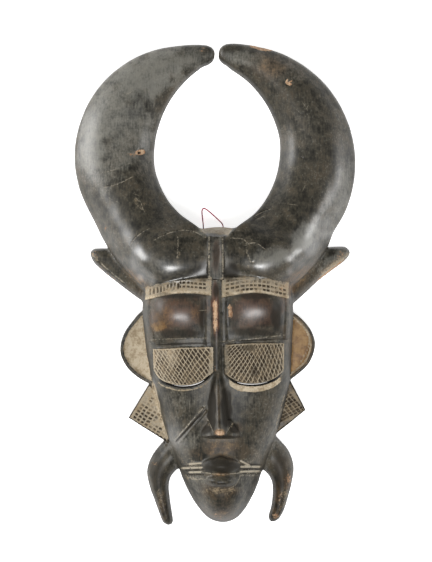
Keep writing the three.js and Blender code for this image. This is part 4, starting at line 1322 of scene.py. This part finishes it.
def ring_walls(count, start=0):
    """Faces between a ring of points and the ring after it."""
    return [
        [start + i, start + (i + 1) % count, start + (i + 1) % count + count, start + i + count]
        for i in range(count)
    ]


def prism(upper, lower, bottom, top):
    """A closed body between two lines and two heights."""
    outline = np.vstack([lower, upper[::-1]])
    count = len(outline)
    points = np.vstack([
        np.column_stack([outline, np.full(count, height)]) for height in (bottom, top)
    ])
    faces = ring_walls(count)
    for i in range(len(upper) - 1):
        quad = [i, i + 1, count - 2 - i, count - 1 - i]
        faces.append(quad[::-1])
        faces.append([j + count for j in quad])
    return points, faces


def hole_cutter(x):
    """A round bar along Y."""
    turn = np.linspace(0, 2 * math.pi, HOLE_SIDES, endpoint=False)
    across, up = HOLE_SIZE / 2 * np.cos(turn), HOLE_SIZE / 2 * np.sin(turn)
    points = np.vstack([
        np.column_stack([x + across, np.full(HOLE_SIDES, y), HOLE_HEIGHT + up]) for y in HOLE_RUN
    ])
    ends = [list(range(HOLE_SIDES))[::-1], list(range(HOLE_SIDES, 2 * HOLE_SIDES))]
    return points, ring_walls(HOLE_SIDES) + ends


def cut_away(piece, cutters):
    """Cuts bodies out of a piece."""
    made = [closed_mesh("cutter", points, faces) for points, faces in cutters]
    for mesh in made:
        cut = piece.modifiers.new("cut", "BOOLEAN")
        cut.operation, cut.solver = "DIFFERENCE", "MANIFOLD"
        cut.object = placed("cutter", mesh)
    applied(piece)
    for mesh in made:
        bpy.data.meshes.remove(mesh)


def roundness(rule, points, reach):
    """How far the surface stands out around each point: above zero on edges, below in grooves."""
    ways = [(1, 0, 0), (-1, 0, 0), (0, 1, 0), (0, -1, 0), (0, 0, 1), (0, 0, -1)]
    return sum(rule(*(points + np.array(way) * reach).T) for way in ways) / (len(ways) * reach)


# Marks that fade out where the front turns away
FADING = ("hatched", "clay", "scratch", "smear", "bare", "ochre", "red", "film_and_sheen", "dark", "polish")


def steep_places(x, y, z):
    """The steep top of the head and the left cheek, which get no painted shade for facing sideways
    and stay as light as the front.
    """
    top = ramp(36, 40, y) * ramp(15, 12, np.abs(x)) * ramp(6, 12, z)
    cheek = ramp(-136, -128, y) * ramp(-70, -76, y) * ramp(-20, -30, x) * ramp(15, 19, z)
    return top + cheek


def thin_back(piece, back):
    """Joins up the small faces of the underside and the hollow."""
    group = piece.vertex_groups.new(name="back")
    group.add(np.flatnonzero(back).tolist(), 1.0, "REPLACE")
    thin = piece.modifiers.new("thin", "DECIMATE")
    thin.ratio = 1 - BACK_THINNING * back.mean()
    thin.vertex_group = "back"
    return applied(piece)


def split_front(carving, mesh):
    """Splits the faces of the front where it has fine detail."""
    for level in (1, 2):
        centres, normals = (read_all(mesh.polygons, name) for name in ("center", "normal"))
        front = (normals[:, 2] > 0.3) & (centres[:, 2] > 5)
        front &= np.abs(carving.outer(*centres.T)) < 1.5
        split_faces(mesh, front & (fineness(*centres.T) >= level))
        put_points(mesh, settled(carving.outside, read_all(mesh.vertices, "co")))


def surface_marks(carving, points, normals):
    """All the marks at points of the surface, and how far each point is on the front."""
    x, y, z = points.T
    outer = carving.outer(x, y, z)
    steep = steep_places(x, y, z)
    facing = ramp(0.02, 0.25, normals[:, 2] + 0.25 * steep)
    on_front = ramp(-1.6, -0.4, outer) * facing * ramp(1, 3, z)
    marks = marks_of(x, y, z)
    for name in FADING:
        marks[name] = marks[name] * on_front
    marks["inside"] = 1 - ramp(-2.2, -0.6, outer) * ramp(0.2, 1.0, z)
    # Painted shade: faces that turn sideways are coloured darker
    marks["side"] = ramp(0.5, 0.1, normals[:, 2]) * (1 - steep)
    marks["edge"] = roundness(carving.outside, points, 1.4)
    marks["swell"] = roundness(carving.outside, points, 4.0)
    return marks, on_front


def lift_of(look, marks, on_front, x, y, z):
    """How far hatching, scratches, dents and tool marks move each point out."""
    seen = as_seen(x, y, z)
    dents = sum(
        depth * ramp(radius, radius * 0.3, np.hypot(seen[0] - cx, seen[1] - cy) + 0.3 * SMALL(x, y))
        for cx, cy, radius, depth in DENTS
    )
    pits = pit_depth(*(marks[name] for name in HATCH_MARKS))
    groove = marks["scratch"] * ramp(1.6, 0.2, np.abs(marks["scratch_across"]))
    lift = -look.pit_depth / MM * pits - GROOVE_DEPTH * groove - dents * on_front
    lift += WAVE_DEPTH * LARGE(x, y) + RIPPLE_DEPTH * MIDDLE(x, y)
    chisel = np.abs(LARGE(x * 0.8, y * 1.3)) * CHISEL_DEPTH
    return lift - chisel * marks["inside"] * ramp(1, 6, z)


def carve_mask(look):
    """The carved wood as one piece, with its marks stored at its points."""
    carving = Carving()
    mesh, points = first_skin(carving)
    piece = placed("mask_carving", mesh)
    mesh = thin_back(piece, (carving.outer(*points.T) < -1.2) | (points[:, 2] < 0.3))
    split_front(carving, mesh)
    cutters = [slit_cutter(patch) for patch in LID_PATCHES.values()]
    cut_away(piece, cutters + [hole_cutter(x) for x in HOLES])

    mesh = piece.data
    points = read_all(mesh.vertices, "co")
    normals = slope_of(carving.outside, points)
    normals /= np.maximum(np.linalg.norm(normals, axis=1), 1e-6)[:, None]
    marks, on_front = surface_marks(carving, points, normals)
    points = points + normals * lift_of(look, marks, on_front, *points.T)[:, None]
    low, high = (np.array(corner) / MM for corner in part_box("mask"))
    put_points(mesh, np.clip(points, low, high) * MM)
    for name, values in marks.items():
        layer = mesh.attributes.new(name, "FLOAT", "POINT")
        layer.data.foreach_set("value", values.astype(np.float32))
    mesh.shade_smooth()
    mesh.set_sharp_from_angle(angle=SHARP_FROM)
    return piece


def ring_frames(line):
    """The direction of a line and two directions across it, at each of its points."""
    along = np.gradient(line, axis=0)
    along /= np.linalg.norm(along, axis=1)[:, None]
    across = np.zeros(line.shape)
    across[0] = np.cross(along[0], (0.0, 0.0, 1.0))
    for i in range(len(line)):
        start = across[max(i - 1, 0)]
        start = start - along[i] * (start @ along[i])
        across[i] = start / np.linalg.norm(start)
    return along, across, np.cross(along, across)


def twisted_tube(name, line, thickness, twist, sides=12):
    """A closed tube of two strands twisted together along a line."""
    _, across, up = ring_frames(line)
    steps = np.linalg.norm(np.diff(line, axis=0), axis=1)
    turn = np.concatenate([[0], np.cumsum(steps)]) / twist * 2 * math.pi
    angle = np.linspace(0, 2 * math.pi, sides, endpoint=False)
    round_strands = 0.74 + 0.26 * np.abs(np.cos(angle[None, :] - turn[:, None]))
    size = thickness / 2 * round_strands
    size[[0, -1]] *= 0.7
    points = (
        line[:, None]
        + (size * np.cos(angle))[..., None] * across[:, None]
        + (size * np.sin(angle))[..., None] * up[:, None]
    ).reshape(-1, 3)
    last = (len(line) - 1) * sides
    faces = [face for start in range(0, last, sides) for face in ring_walls(sides, start)]
    faces += [list(range(sides))[::-1], list(range(last, last + sides))]
    return closed_piece(name, points, faces)


def closed_piece(name, points, faces):
    mesh = closed_mesh(name, points * MM, faces)
    mesh.shade_smooth()
    return placed(name, mesh)


def tied_knot(name):
    """A small knot: thread wound round itself into a lump."""
    rows, sides = 20, 28
    points = []
    for i in range(1, rows):
        tilt = math.pi * i / rows
        for j in range(sides):
            turn = 2 * math.pi * j / sides
            way = np.array([
                math.cos(tilt), math.sin(tilt) * math.cos(turn), math.sin(tilt) * math.sin(turn),
            ])
            wound = math.cos(5 * tilt + 2 * turn) * math.sin(tilt)
            points.append(way * (0.93 + 0.07 * wound))
    points = np.array([(1.0, 0, 0), *points, (-1.0, 0, 0)])
    last = len(points) - 1
    faces = [[0, 1 + (j + 1) % sides, 1 + j] for j in range(sides)]
    for i in range(rows - 2):
        faces += ring_walls(sides, 1 + i * sides)
    faces += [[last, last - sides + j, last - sides + (j + 1) % sides] for j in range(sides)]
    return closed_piece(name, points * np.array(KNOT_SIZE) / 2 + KNOT_CENTRE, faces)


class Share:
    """A number that changes over a surface, on which sums are written as plain sums."""

    def __init__(self, paint, socket):
        self.paint, self.socket = paint, socket

    def sum(self, operation, *values):
        return self.paint.node("Math", {"operation": operation}, dict(enumerate(values)))

    def __add__(self, other):
        return self.sum("ADD", self, other)

    __radd__ = __add__

    def __sub__(self, other):
        return self.sum("SUBTRACT", self, other)

    def __rsub__(self, other):
        return self.sum("SUBTRACT", other, self)

    def __mul__(self, other):
        return self.sum("MULTIPLY", self, other)

    __rmul__ = __mul__

    def fract(self):
        return self.sum("FRACT", self)

    def size(self):
        return self.sum("ABSOLUTE", self)

    def held(self, least, most):
        return self.sum("MAXIMUM", self.sum("MINIMUM", self, most), least)

    def rise(self, low, high):
        """0 below low and 1 above high, with soft ends."""
        return self.paint.node(
            "MapRange",
            {"interpolation_type": "SMOOTHSTEP"},
            {"Value": self, "From Min": low, "From Max": high},
        )


class Paint:
    """One material, built node by node."""

    def __init__(self, name):
        self.material = bpy.data.materials.new(name)
        self.material.use_nodes = True
        self.tree = self.material.node_tree
        self.tree.nodes.clear()
        self.place = self.node("TexCoord", output="Object")

    def node(self, kind, settings=None, values=None, output=0):
        """Adds a node: its settings first, then the values or links of its sockets."""
        made = self.tree.nodes.new("ShaderNode" + kind)
        for name, value in (settings or {}).items():
            setattr(made, name, value)
        for name, value in (values or {}).items():
            if isinstance(value, Share):
                self.tree.links.new(value.socket, made.inputs[name])
            elif made.inputs[name].type == "RGBA":
                made.inputs[name].default_value = (*value, 1)
            else:
                made.inputs[name].default_value = value
        return Share(self, made.outputs[output])

    def mark(self, name):
        return self.node("Attribute", {"attribute_name": name}, output="Fac")

    def noise(self, size, detail=3, stretch=(1, 1, 1)):
        """Cloudy unevenness about as large as size, in metres."""
        place = self.node("Mapping", {}, {"Vector": self.place, "Scale": stretch})
        values = {"Vector": place, "Scale": 1 / size, "Detail": detail, "Roughness": 0.55}
        return self.node("TexNoise", {}, values)

    def blend(self, under, over, share):
        """One colour over another, by a share."""
        return self.node("Mix", {"data_type": "RGBA"}, {0: share, 6: under, 7: over}, 2)

    def finish(self, values, height, deep):
        """Ends the material in a surface with a fine relief, deep in metres."""
        values["Normal"] = self.node(
            "Bump", {}, {"Strength": 1.0, "Distance": deep, "Height": height}, "Normal"
        )
        surface = self.node("BsdfPrincipled", {}, values)
        end = self.tree.nodes.new("ShaderNodeOutputMaterial")
        self.tree.links.new(surface.socket, end.inputs["Surface"])
        return self.material


def tinted(colour, *factors):
    return tuple(min(1.0, c * f) for c, f in zip(colour, factors))


class CarvedWood(Paint):
    """Dark greasy patina over brown wood, pale clay in the hatching, worn places, and painted shade
    and painted highlight in places.
    """

    def __init__(self, look):
        super().__init__("carved_wood_patina")
        self.look = look
        self.grain = self.noise(0.0012, 4, (1, 0.14, 1))
        self.cloud, self.patch = self.noise(0.024), self.noise(0.006)
        self.speck, self.dust = self.noise(0.0017, 4), self.noise(0.0007, 2)
        self.ragged = (self.patch - 0.5) * 1.1 + (self.speck - 0.5) * 1.2 + (self.dust - 0.5) * 0.6
        self.shaken = (self.dust - 0.5) * 0.25
        # Where painted shade falls on sideways faces and along the slits, and where the hollow is
        self.side, self.slit, self.inside = map(self.mark, ("side", "slit", "inside"))
        self.lay_patina()
        self.lay_wear()
        self.lay_clay()
        self.lay_cuts()
        self.lay_bare_wood()

    def lay(self, over, share):
        """Lays a colour over what is there."""
        self.colour = self.blend(self.colour, over, share)

    def lay_patina(self):
        """Patina, browner and dustier in places, worn off the edges."""
        look, grain, cloud, patch, speck = self.look, self.grain, self.cloud, self.patch, self.speck
        mottled = cloud * 0.45 + patch * 0.4 + speck * 0.25 + grain * 0.4
        self.colour = self.blend(
            tinted(look.patina, 0.3, 0.3, 0.3), tinted(look.patina, 2.2, 2.15, 2.05),
            mottled.rise(0.54, 0.98),
        )
        ochre = self.mark("ochre")
        browned = (cloud * 0.5 + grain * 0.5 + patch * 0.4 + ochre * 0.45).rise(0.66, 0.92)
        self.lay(look.brown, browned * 0.6)
        worn_edge = self.mark("edge") + (patch - 0.5) * 0.2 + (speck - 0.5) * 0.16
        self.lay(tinted(look.brown, 1.6, 1.7, 1.8), worn_edge.rise(0.12, 0.34) * 0.5)
        dusty = (0.03 - self.mark("swell") + self.ragged * 0.08).rise(0.02, 0.2)
        self.lay(look.film_and_sheen, dusty * 0.1)
        flecked = (speck * 0.6 + self.dust * 0.4 + (cloud - 0.5) * 0.3).rise(0.56, 0.68)
        self.lay(look.film_and_sheen, flecked * 0.28)

    def lay_wear(self):
        """Grey dust with painted sheen, red and ochre wear, painted shade on sideways faces, and
        dark places that are mostly painted shade.
        """
        look, ragged, grain = self.look, self.ragged, self.grain - 0.5
        # Grey dust, and painted highlight and sheen where the spots stand for light
        self.dust_and_sheen = (self.mark("film_and_sheen") + ragged * 0.4 + grain * 0.6).rise(0.15, 1.05)
        self.lay(look.film_and_sheen, self.dust_and_sheen * 0.62)
        reddened = (self.mark("red") + ragged * 0.4 + grain * 0.5).rise(0.25, 1.05)
        self.lay(look.red, reddened * 0.85)
        # Painted shade: darker patina on faces that turn sideways
        self.lay(tinted(look.patina, 0.5, 0.45, 0.4), self.side * 0.7)
        ochred = (self.mark("ochre") + ragged * 0.4 + grain * 0.4).rise(0.36, 1.2)
        ochre_colour = self.blend(
            tinted(look.ochre, 0.75, 0.65, 0.5), tinted(look.ochre, 1.5, 1.65, 1.6),
            (self.cloud * 0.5 + self.patch * 0.5 + self.speck * 0.3).rise(0.46, 0.84),
        )
        self.lay(ochre_colour, ochred * 0.9)
        # Painted shade in the dark places, with some darker worn places
        self.dark_wear_and_shade = (self.mark("dark") + ragged * 0.25).rise(0.2, 0.9)
        self.lay(tinted(look.patina, 0.4, 0.35, 0.3), self.dark_wear_and_shade * 0.9)

    def lay_clay(self):
        """Pale clay in its fields and in smears."""
        look, patch, speck, dust = self.look, self.patch, self.speck, self.dust
        laid = (self.mark("clay_inside") + (speck - 0.5) * 1.6 + (dust - 0.5)).rise(-0.3, 0.3)
        thick = self.mark("clay") + (patch - 0.5) * 0.7 + (speck - 0.5) * 0.8
        self.clayed = laid * thick.rise(0.05, 0.75)
        self.smeared = (self.mark("smear") + self.ragged * 0.55).rise(0.42, 0.72) * 0.8
        clay_colour = self.blend(
            look.clay, tinted(look.clay, 0.5, 0.45, 0.38),
            (patch * 0.5 + speck * 0.5 + dust * 0.2).rise(0.48, 0.76),
        )
        self.lay(clay_colour, self.clayed * (1 - self.dark_wear_and_shade * 0.75))
        self.lay(clay_colour, self.smeared)

    def lay_cuts(self):
        """The pits of the hatching, and the pale scratches."""
        look, patch, speck = self.look, self.patch, self.speck
        pitted = 1.0
        for way in ("along", "across"):
            ridge = self.mark("ridge_" + way)
            off = ((self.mark("hatch_" + way) + self.shaken).fract() - 0.5).size() * 2
            pitted = pitted * (1 - (off + ridge).rise(0.86, 1.14))
        self.pitted = pitted * (self.mark("hatched") + (speck - 0.5) * 0.4).rise(0.1, 0.7)
        pit_colour = self.blend(
            tinted(look.brown, 0.4, 0.4, 0.4), tinted(look.brown, 1.5, 1.7, 1.9),
            patch.rise(0.42, 0.66),
        )
        self.lay(pit_colour, self.pitted * 0.94)
        scratch = self.mark("scratch")
        off = (self.mark("scratch_across") + self.shaken * 2).size()
        whole = (scratch - 1).held(0, 1) * 0.35
        broken = (speck * 0.6 + self.dust * 0.4 + (patch - 0.5) * 0.4 + whole).rise(0.42, 0.58)
        self.scored = scratch * (1 - off.rise(0.6, 1.3)) * broken
        self.lay(tinted(look.clay, 0.62, 0.64, 0.66), self.scored * 0.75)

    def lay_bare_wood(self):
        """Bare wood in chips and in the hollow, and painted shade along the slits under the lids.
        """
        look, grain, speck, inside = self.look, self.grain, self.speck, self.inside
        self.bared = (self.mark("bare") + self.ragged * 0.6).rise(0.42, 0.62)
        bare_colour = self.blend(
            look.bare, tinted(look.bare, 0.6, 0.45, 0.36),
            (grain * 0.6 + speck * 0.6).rise(0.5, 0.75),
        )
        self.lay(bare_colour, self.bared * (1 - self.dark_wear_and_shade * 0.9))
        raw_colour = self.blend(
            look.raw, tinted(look.raw, 0.5, 0.48, 0.45),
            (grain * 0.6 + self.cloud * 0.5 + self.patch * 0.3).rise(0.5, 0.9),
        )
        self.lay(raw_colour, inside)
        # Painted shade: near black patina along the slits
        self.lay(tinted(look.patina, 0.12, 0.1, 0.08), self.slit.rise(0.2, 0.8) * (1 - inside))

    def dullness(self):
        """How dull the surface is, over the patina's own roughness and under it."""
        dull = self.clayed * 0.3 + self.bared * 0.2 + self.dust_and_sheen * 0.1 + self.smeared * 0.2
        dull = dull + self.inside * 0.36 + self.pitted * 0.4 + self.dark_wear_and_shade * 0.4
        dull = dull + (self.patch - 0.5) * 0.06 + (self.speck - 0.5) * 0.08
        dull = dull + self.side * 0.25 + self.slit * 0.25
        return (self.look.roughness + dull).held(0.12, 0.95)

    def relief(self):
        """The height of the finest unevenness."""
        height = self.grain * 0.3 + self.speck * 0.4 + self.dust * 0.15 + self.patch * 0.25
        height = height + self.clayed * self.speck * 0.3 - self.bared * 0.4 - self.pitted * 0.5
        return height - self.scored * 0.3 + self.inside * self.grain * 0.8

    def finished(self):
        waxed = 0.04 + self.mark("polish") * self.look.polish - self.clayed * 0.6
        waxed = (waxed - self.pitted - self.bared - self.inside).held(0, 1)
        values = {
            "Base Color": self.colour, "Roughness": self.dullness(),
            "Specular IOR Level": self.look.gloss,
            "Coat Weight": waxed, "Coat Roughness": 0.34, "Coat IOR": 1.8,
        }
        return self.finish(values, self.relief(), 0.00012)


def red_thread_finish(look):
    """Twisted dyed thread: dull, its dye darker and lighter in fine flecks."""
    paint = Paint("red_thread_dyed")
    fibre = paint.noise(0.00012, 2)
    worn = paint.noise(0.004)
    colour = paint.blend(tinted(look.dye, 0.45, 0.45, 0.45), look.dye, fibre.rise(0.3, 0.6))
    pale = tuple(min(1, c * 1.6 + 0.05) for c in look.dye)
    colour = paint.blend(colour, pale, worn.rise(0.5, 0.8) * 0.5)
    rough = 0.75 + fibre * 0.2
    values = {"Base Color": colour, "Roughness": rough, "Sheen Weight": 0.25}
    return paint.finish(values, fibre, 0.00012)


def plain_floor_finish(colour):
    paint = Paint("pale_floor")
    paper = paint.noise(0.02)
    tint = paint.blend(colour, tinted(colour, 0.985, 0.985, 0.985), paper)
    values = {
        "Base Color": tint, "Roughness": 0.9 - paper * 0.05,
        "Emission Color": tint, "Emission Strength": 0.95,
    }
    return paint.finish(values, paper, 0.00002)


class CarvingLook(bpy.types.PropertyGroup):
    patina: FloatVectorProperty(
        name="Patina", description="Colour of the dark greasy surface", subtype="COLOR",
        default=(0.0375, 0.0345, 0.0265), min=0, max=1,
    )
    brown: FloatVectorProperty(
        name="Brown wood", description="Colour of the wood where the patina is thin",
        subtype="COLOR", default=(0.062, 0.043, 0.026), min=0, max=1,
    )
    # Colour of the grey dust, laid also as painted highlight and sheen
    film_and_sheen: FloatVectorProperty(
        name="Grey film", description="Colour of the dusty film on the horns", subtype="COLOR",
        default=(0.24, 0.235, 0.205), min=0, max=1,
    )
    red: FloatVectorProperty(
        name="Reddish wear", description="Colour of the rubbed places of the face",
        subtype="COLOR", default=(0.088, 0.036, 0.019), min=0, max=1,
    )
    clay: FloatVectorProperty(
        name="Pale clay", description="Colour of the clay left in the hatching", subtype="COLOR",
        default=(0.52, 0.44, 0.32), min=0, max=1,
    )
    bare: FloatVectorProperty(
        name="Bare wood", description="Colour of the wood where it is chipped or worn through",
        subtype="COLOR", default=(0.5, 0.35, 0.225), min=0, max=1,
    )
    ochre: FloatVectorProperty(
        name="Ochre wear", description="Colour of the golden-brown rubbed places",
        subtype="COLOR", default=(0.23, 0.12, 0.042), min=0, max=1,
    )
    raw: FloatVectorProperty(
        name="Raw wood", description="Colour of the hollow back", subtype="COLOR",
        default=(0.13, 0.075, 0.04), min=0, max=1,
    )
    gloss: FloatProperty(
        name="Gloss", description="How much light the surface mirrors", default=0.22, min=0, max=1,
        subtype="FACTOR",
    )
    roughness: FloatProperty(
        name="Roughness", description="How dull the patina is", default=0.43, min=0, max=1,
        subtype="FACTOR",
    )
    polish: FloatProperty(
        name="Polish", description="How much more the much-touched places shine", default=0.75,
        min=0, max=1, subtype="FACTOR",
    )
    pit_depth: FloatProperty(
        name="Hatching depth", description="How deep the small pits of the hatching are cut",
        default=0.00085, min=0, max=0.002, unit="LENGTH",
    )


class ThreadLook(bpy.types.PropertyGroup):
    dye: FloatVectorProperty(
        name="Dye", description="Colour of the thread", subtype="COLOR",
        default=(0.62, 0.018, 0.1), min=0, max=1,
    )
    thickness: FloatProperty(
        name="Thickness", description="How thick the thread is", default=THREAD_SIZE * MM,
        min=0.0005, max=0.0016, unit="LENGTH",
    )
    twist: FloatProperty(
        name="Twist", description="Length of one turn of its two strands", default=0.0028,
        min=0.001, max=0.01, unit="LENGTH",
    )


class StageLook(bpy.types.PropertyGroup):
    floor: FloatVectorProperty(
        name="Floor", description="Colour of the floor", subtype="COLOR",
        default=(0.86, 0.86, 0.855), min=0, max=1,
    )
    light: FloatProperty(
        name="Light", description="Strength of the lamps, all together", default=1.0, min=0, max=5,
    )
    surround: FloatProperty(
        name="Surround", description="Brightness of the room around", default=0.07, min=0, max=5,
    )
    camera_height: FloatProperty(
        name="Camera height", description="How high the camera stands over the table",
        default=EYE[2] * MM, min=0.5, max=5, unit="LENGTH",
    )


class MASK_OT_hang_thread(bpy.types.Operator):
    """Runs the red thread through the head's two holes and ties it"""

    bl_idname = "mask.hang_thread"
    bl_label = "Hanging thread"

    def execute(self, context):
        look = context.scene.mask_thread
        line = evenly(smooth_line(THREAD_PATH), 260)
        thickness = look.thickness / MM
        thread = twisted_tube("hanging_thread", line, thickness, look.twist / MM)
        knot = tied_knot("hanging_thread_knot")
        finish = red_thread_finish(look)
        for piece, node in ((thread, "hanging_loop"), (knot, "thread_knot")):
            piece.data.materials.append(finish)
            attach(piece, "root")
            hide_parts(node)
        route = evenly(line, 40)
        length = np.linalg.norm(np.diff(route, axis=0), axis=1).sum()
        round(float(length * MM), 4)
        return {"FINISHED"}


class MASK_OT_carve_wood(bpy.types.Operator):
    """Carves the mask, with its hatching, scars, scratches and worn finish"""

    bl_idname = "mask.carve_wood"
    bl_label = "Carved wood"

    def execute(self, context):
        look = context.scene.mask_carving
        piece = carve_mask(look)
        piece.data.materials.clear()
        piece.data.materials.append(CarvedWood(look).finished())
        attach(piece, "root")
        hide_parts("mask")
        return {"FINISHED"}


SENSOR = 36.0
# The floor's half width and how far it lies under the resting plane, in metres
FLOOR_HALF = 3
FLOOR_DROP = 0.0002
# Lamps: name, place, point that it faces, width and height in metres, power in watts
LAMPS = [
    ("left_softbox", (-1.5, 0.5, 0.36), (-0.03, 0.06, 0), (0.8, 0.8), 23.5),
    ("front_softbox", (0.0, -0.6, 1.81), (0, 0, 0), (0.8, 0.4), 32.0),
    ("right_softbox", (1.4, 0.24, 0.42), (0.06, 0.04, 0), (0.5, 0.5), 6.5),
    ("top_softbox", (-0.62, 0.3, 1.75), (0, 0, 0), (0.4, 0.4), 1.2),
]


class MASK_OT_set_stage(bpy.types.Operator):
    """Sets up the camera, the floor and the lamps"""

    bl_idname = "mask.set_stage"
    bl_label = "Stage"

    def execute(self, context):
        look = context.scene.mask_stage
        scene = context.scene
        camera = placed("camera", bpy.data.cameras.new("camera"))
        camera.location = (EYE[0] * MM, EYE[1] * MM, look.camera_height)
        camera.data.sensor_width = SENSOR
        camera.data.lens = SENSOR * look.camera_height / (VIEW_HEIGHT * MM)
        scene.camera = camera

        mesh = bpy.data.meshes.new("floor")
        sides = ((-1, -1), (1, -1), (1, 1), (-1, 1))
        corners = [(x * FLOOR_HALF, y * FLOOR_HALF, -FLOOR_DROP) for x, y in sides]
        mesh.from_pydata(corners, [], [(0, 1, 2, 3)])
        floor = placed("floor", mesh)
        floor.data.materials.append(plain_floor_finish(look.floor))
        floor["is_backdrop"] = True

        for name, place, target, size, power in LAMPS:
            data = bpy.data.lights.new(name, "AREA")
            data.shape = "RECTANGLE"
            data.size, data.size_y = size
            data.energy = power * look.light
            lamp = placed(name, data)
            lamp.location = place
            facing = Vector(target) - Vector(place)
            lamp.rotation_euler = facing.to_track_quat("-Z", "Y").to_euler()

        world = bpy.data.worlds.new("studio")
        world.use_nodes = True
        background = world.node_tree.nodes["Background"]
        background.inputs["Color"].default_value = (1, 1, 1, 1)
        background.inputs["Strength"].default_value = look.surround
        scene.world = world
        scene.view_settings.view_transform = "Standard"
        return {"FINISHED"}


class MASK_PT_makers_panel(bpy.types.Panel):
    bl_idname = "MASK_PT_makers_panel"
    bl_label = "Carved horned mask"
    bl_space_type = "VIEW_3D"
    bl_region_type = "UI"
    bl_category = "Mask"

    def draw(self, context):
        scene = context.scene
        for look, operator in (
            (scene.mask_stage, "mask.set_stage"),
            (scene.mask_thread, "mask.hang_thread"),
            (scene.mask_carving, "mask.carve_wood"),
        ):
            box = self.layout.box()
            for name in look.bl_rna.properties.keys():
                if name not in ("rna_type", "name"):
                    box.prop(look, name)
            box.operator(operator)


LOOKS = {"mask_carving": CarvingLook, "mask_thread": ThreadLook, "mask_stage": StageLook}
CLASSES = [
    *LOOKS.values(),
    MASK_OT_set_stage, MASK_OT_hang_thread, MASK_OT_carve_wood, MASK_PT_makers_panel,
]


def register():
    for made in CLASSES:
        bpy.utils.register_class(made)
    for name, look in LOOKS.items():
        setattr(bpy.types.Scene, name, PointerProperty(type=look))


def unregister():
    for name in LOOKS:
        delattr(bpy.types.Scene, name)
    for made in reversed(CLASSES):
        bpy.utils.unregister_class(made)


def main():
    register()
    bpy.ops.mask.set_stage()
    bpy.ops.mask.hang_thread()
    bpy.ops.mask.carve_wood()
    sizes = [[list(map(float, corner)) for corner in box] for box in (cad_box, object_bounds())]


if __name__ == "__main__":
    main()
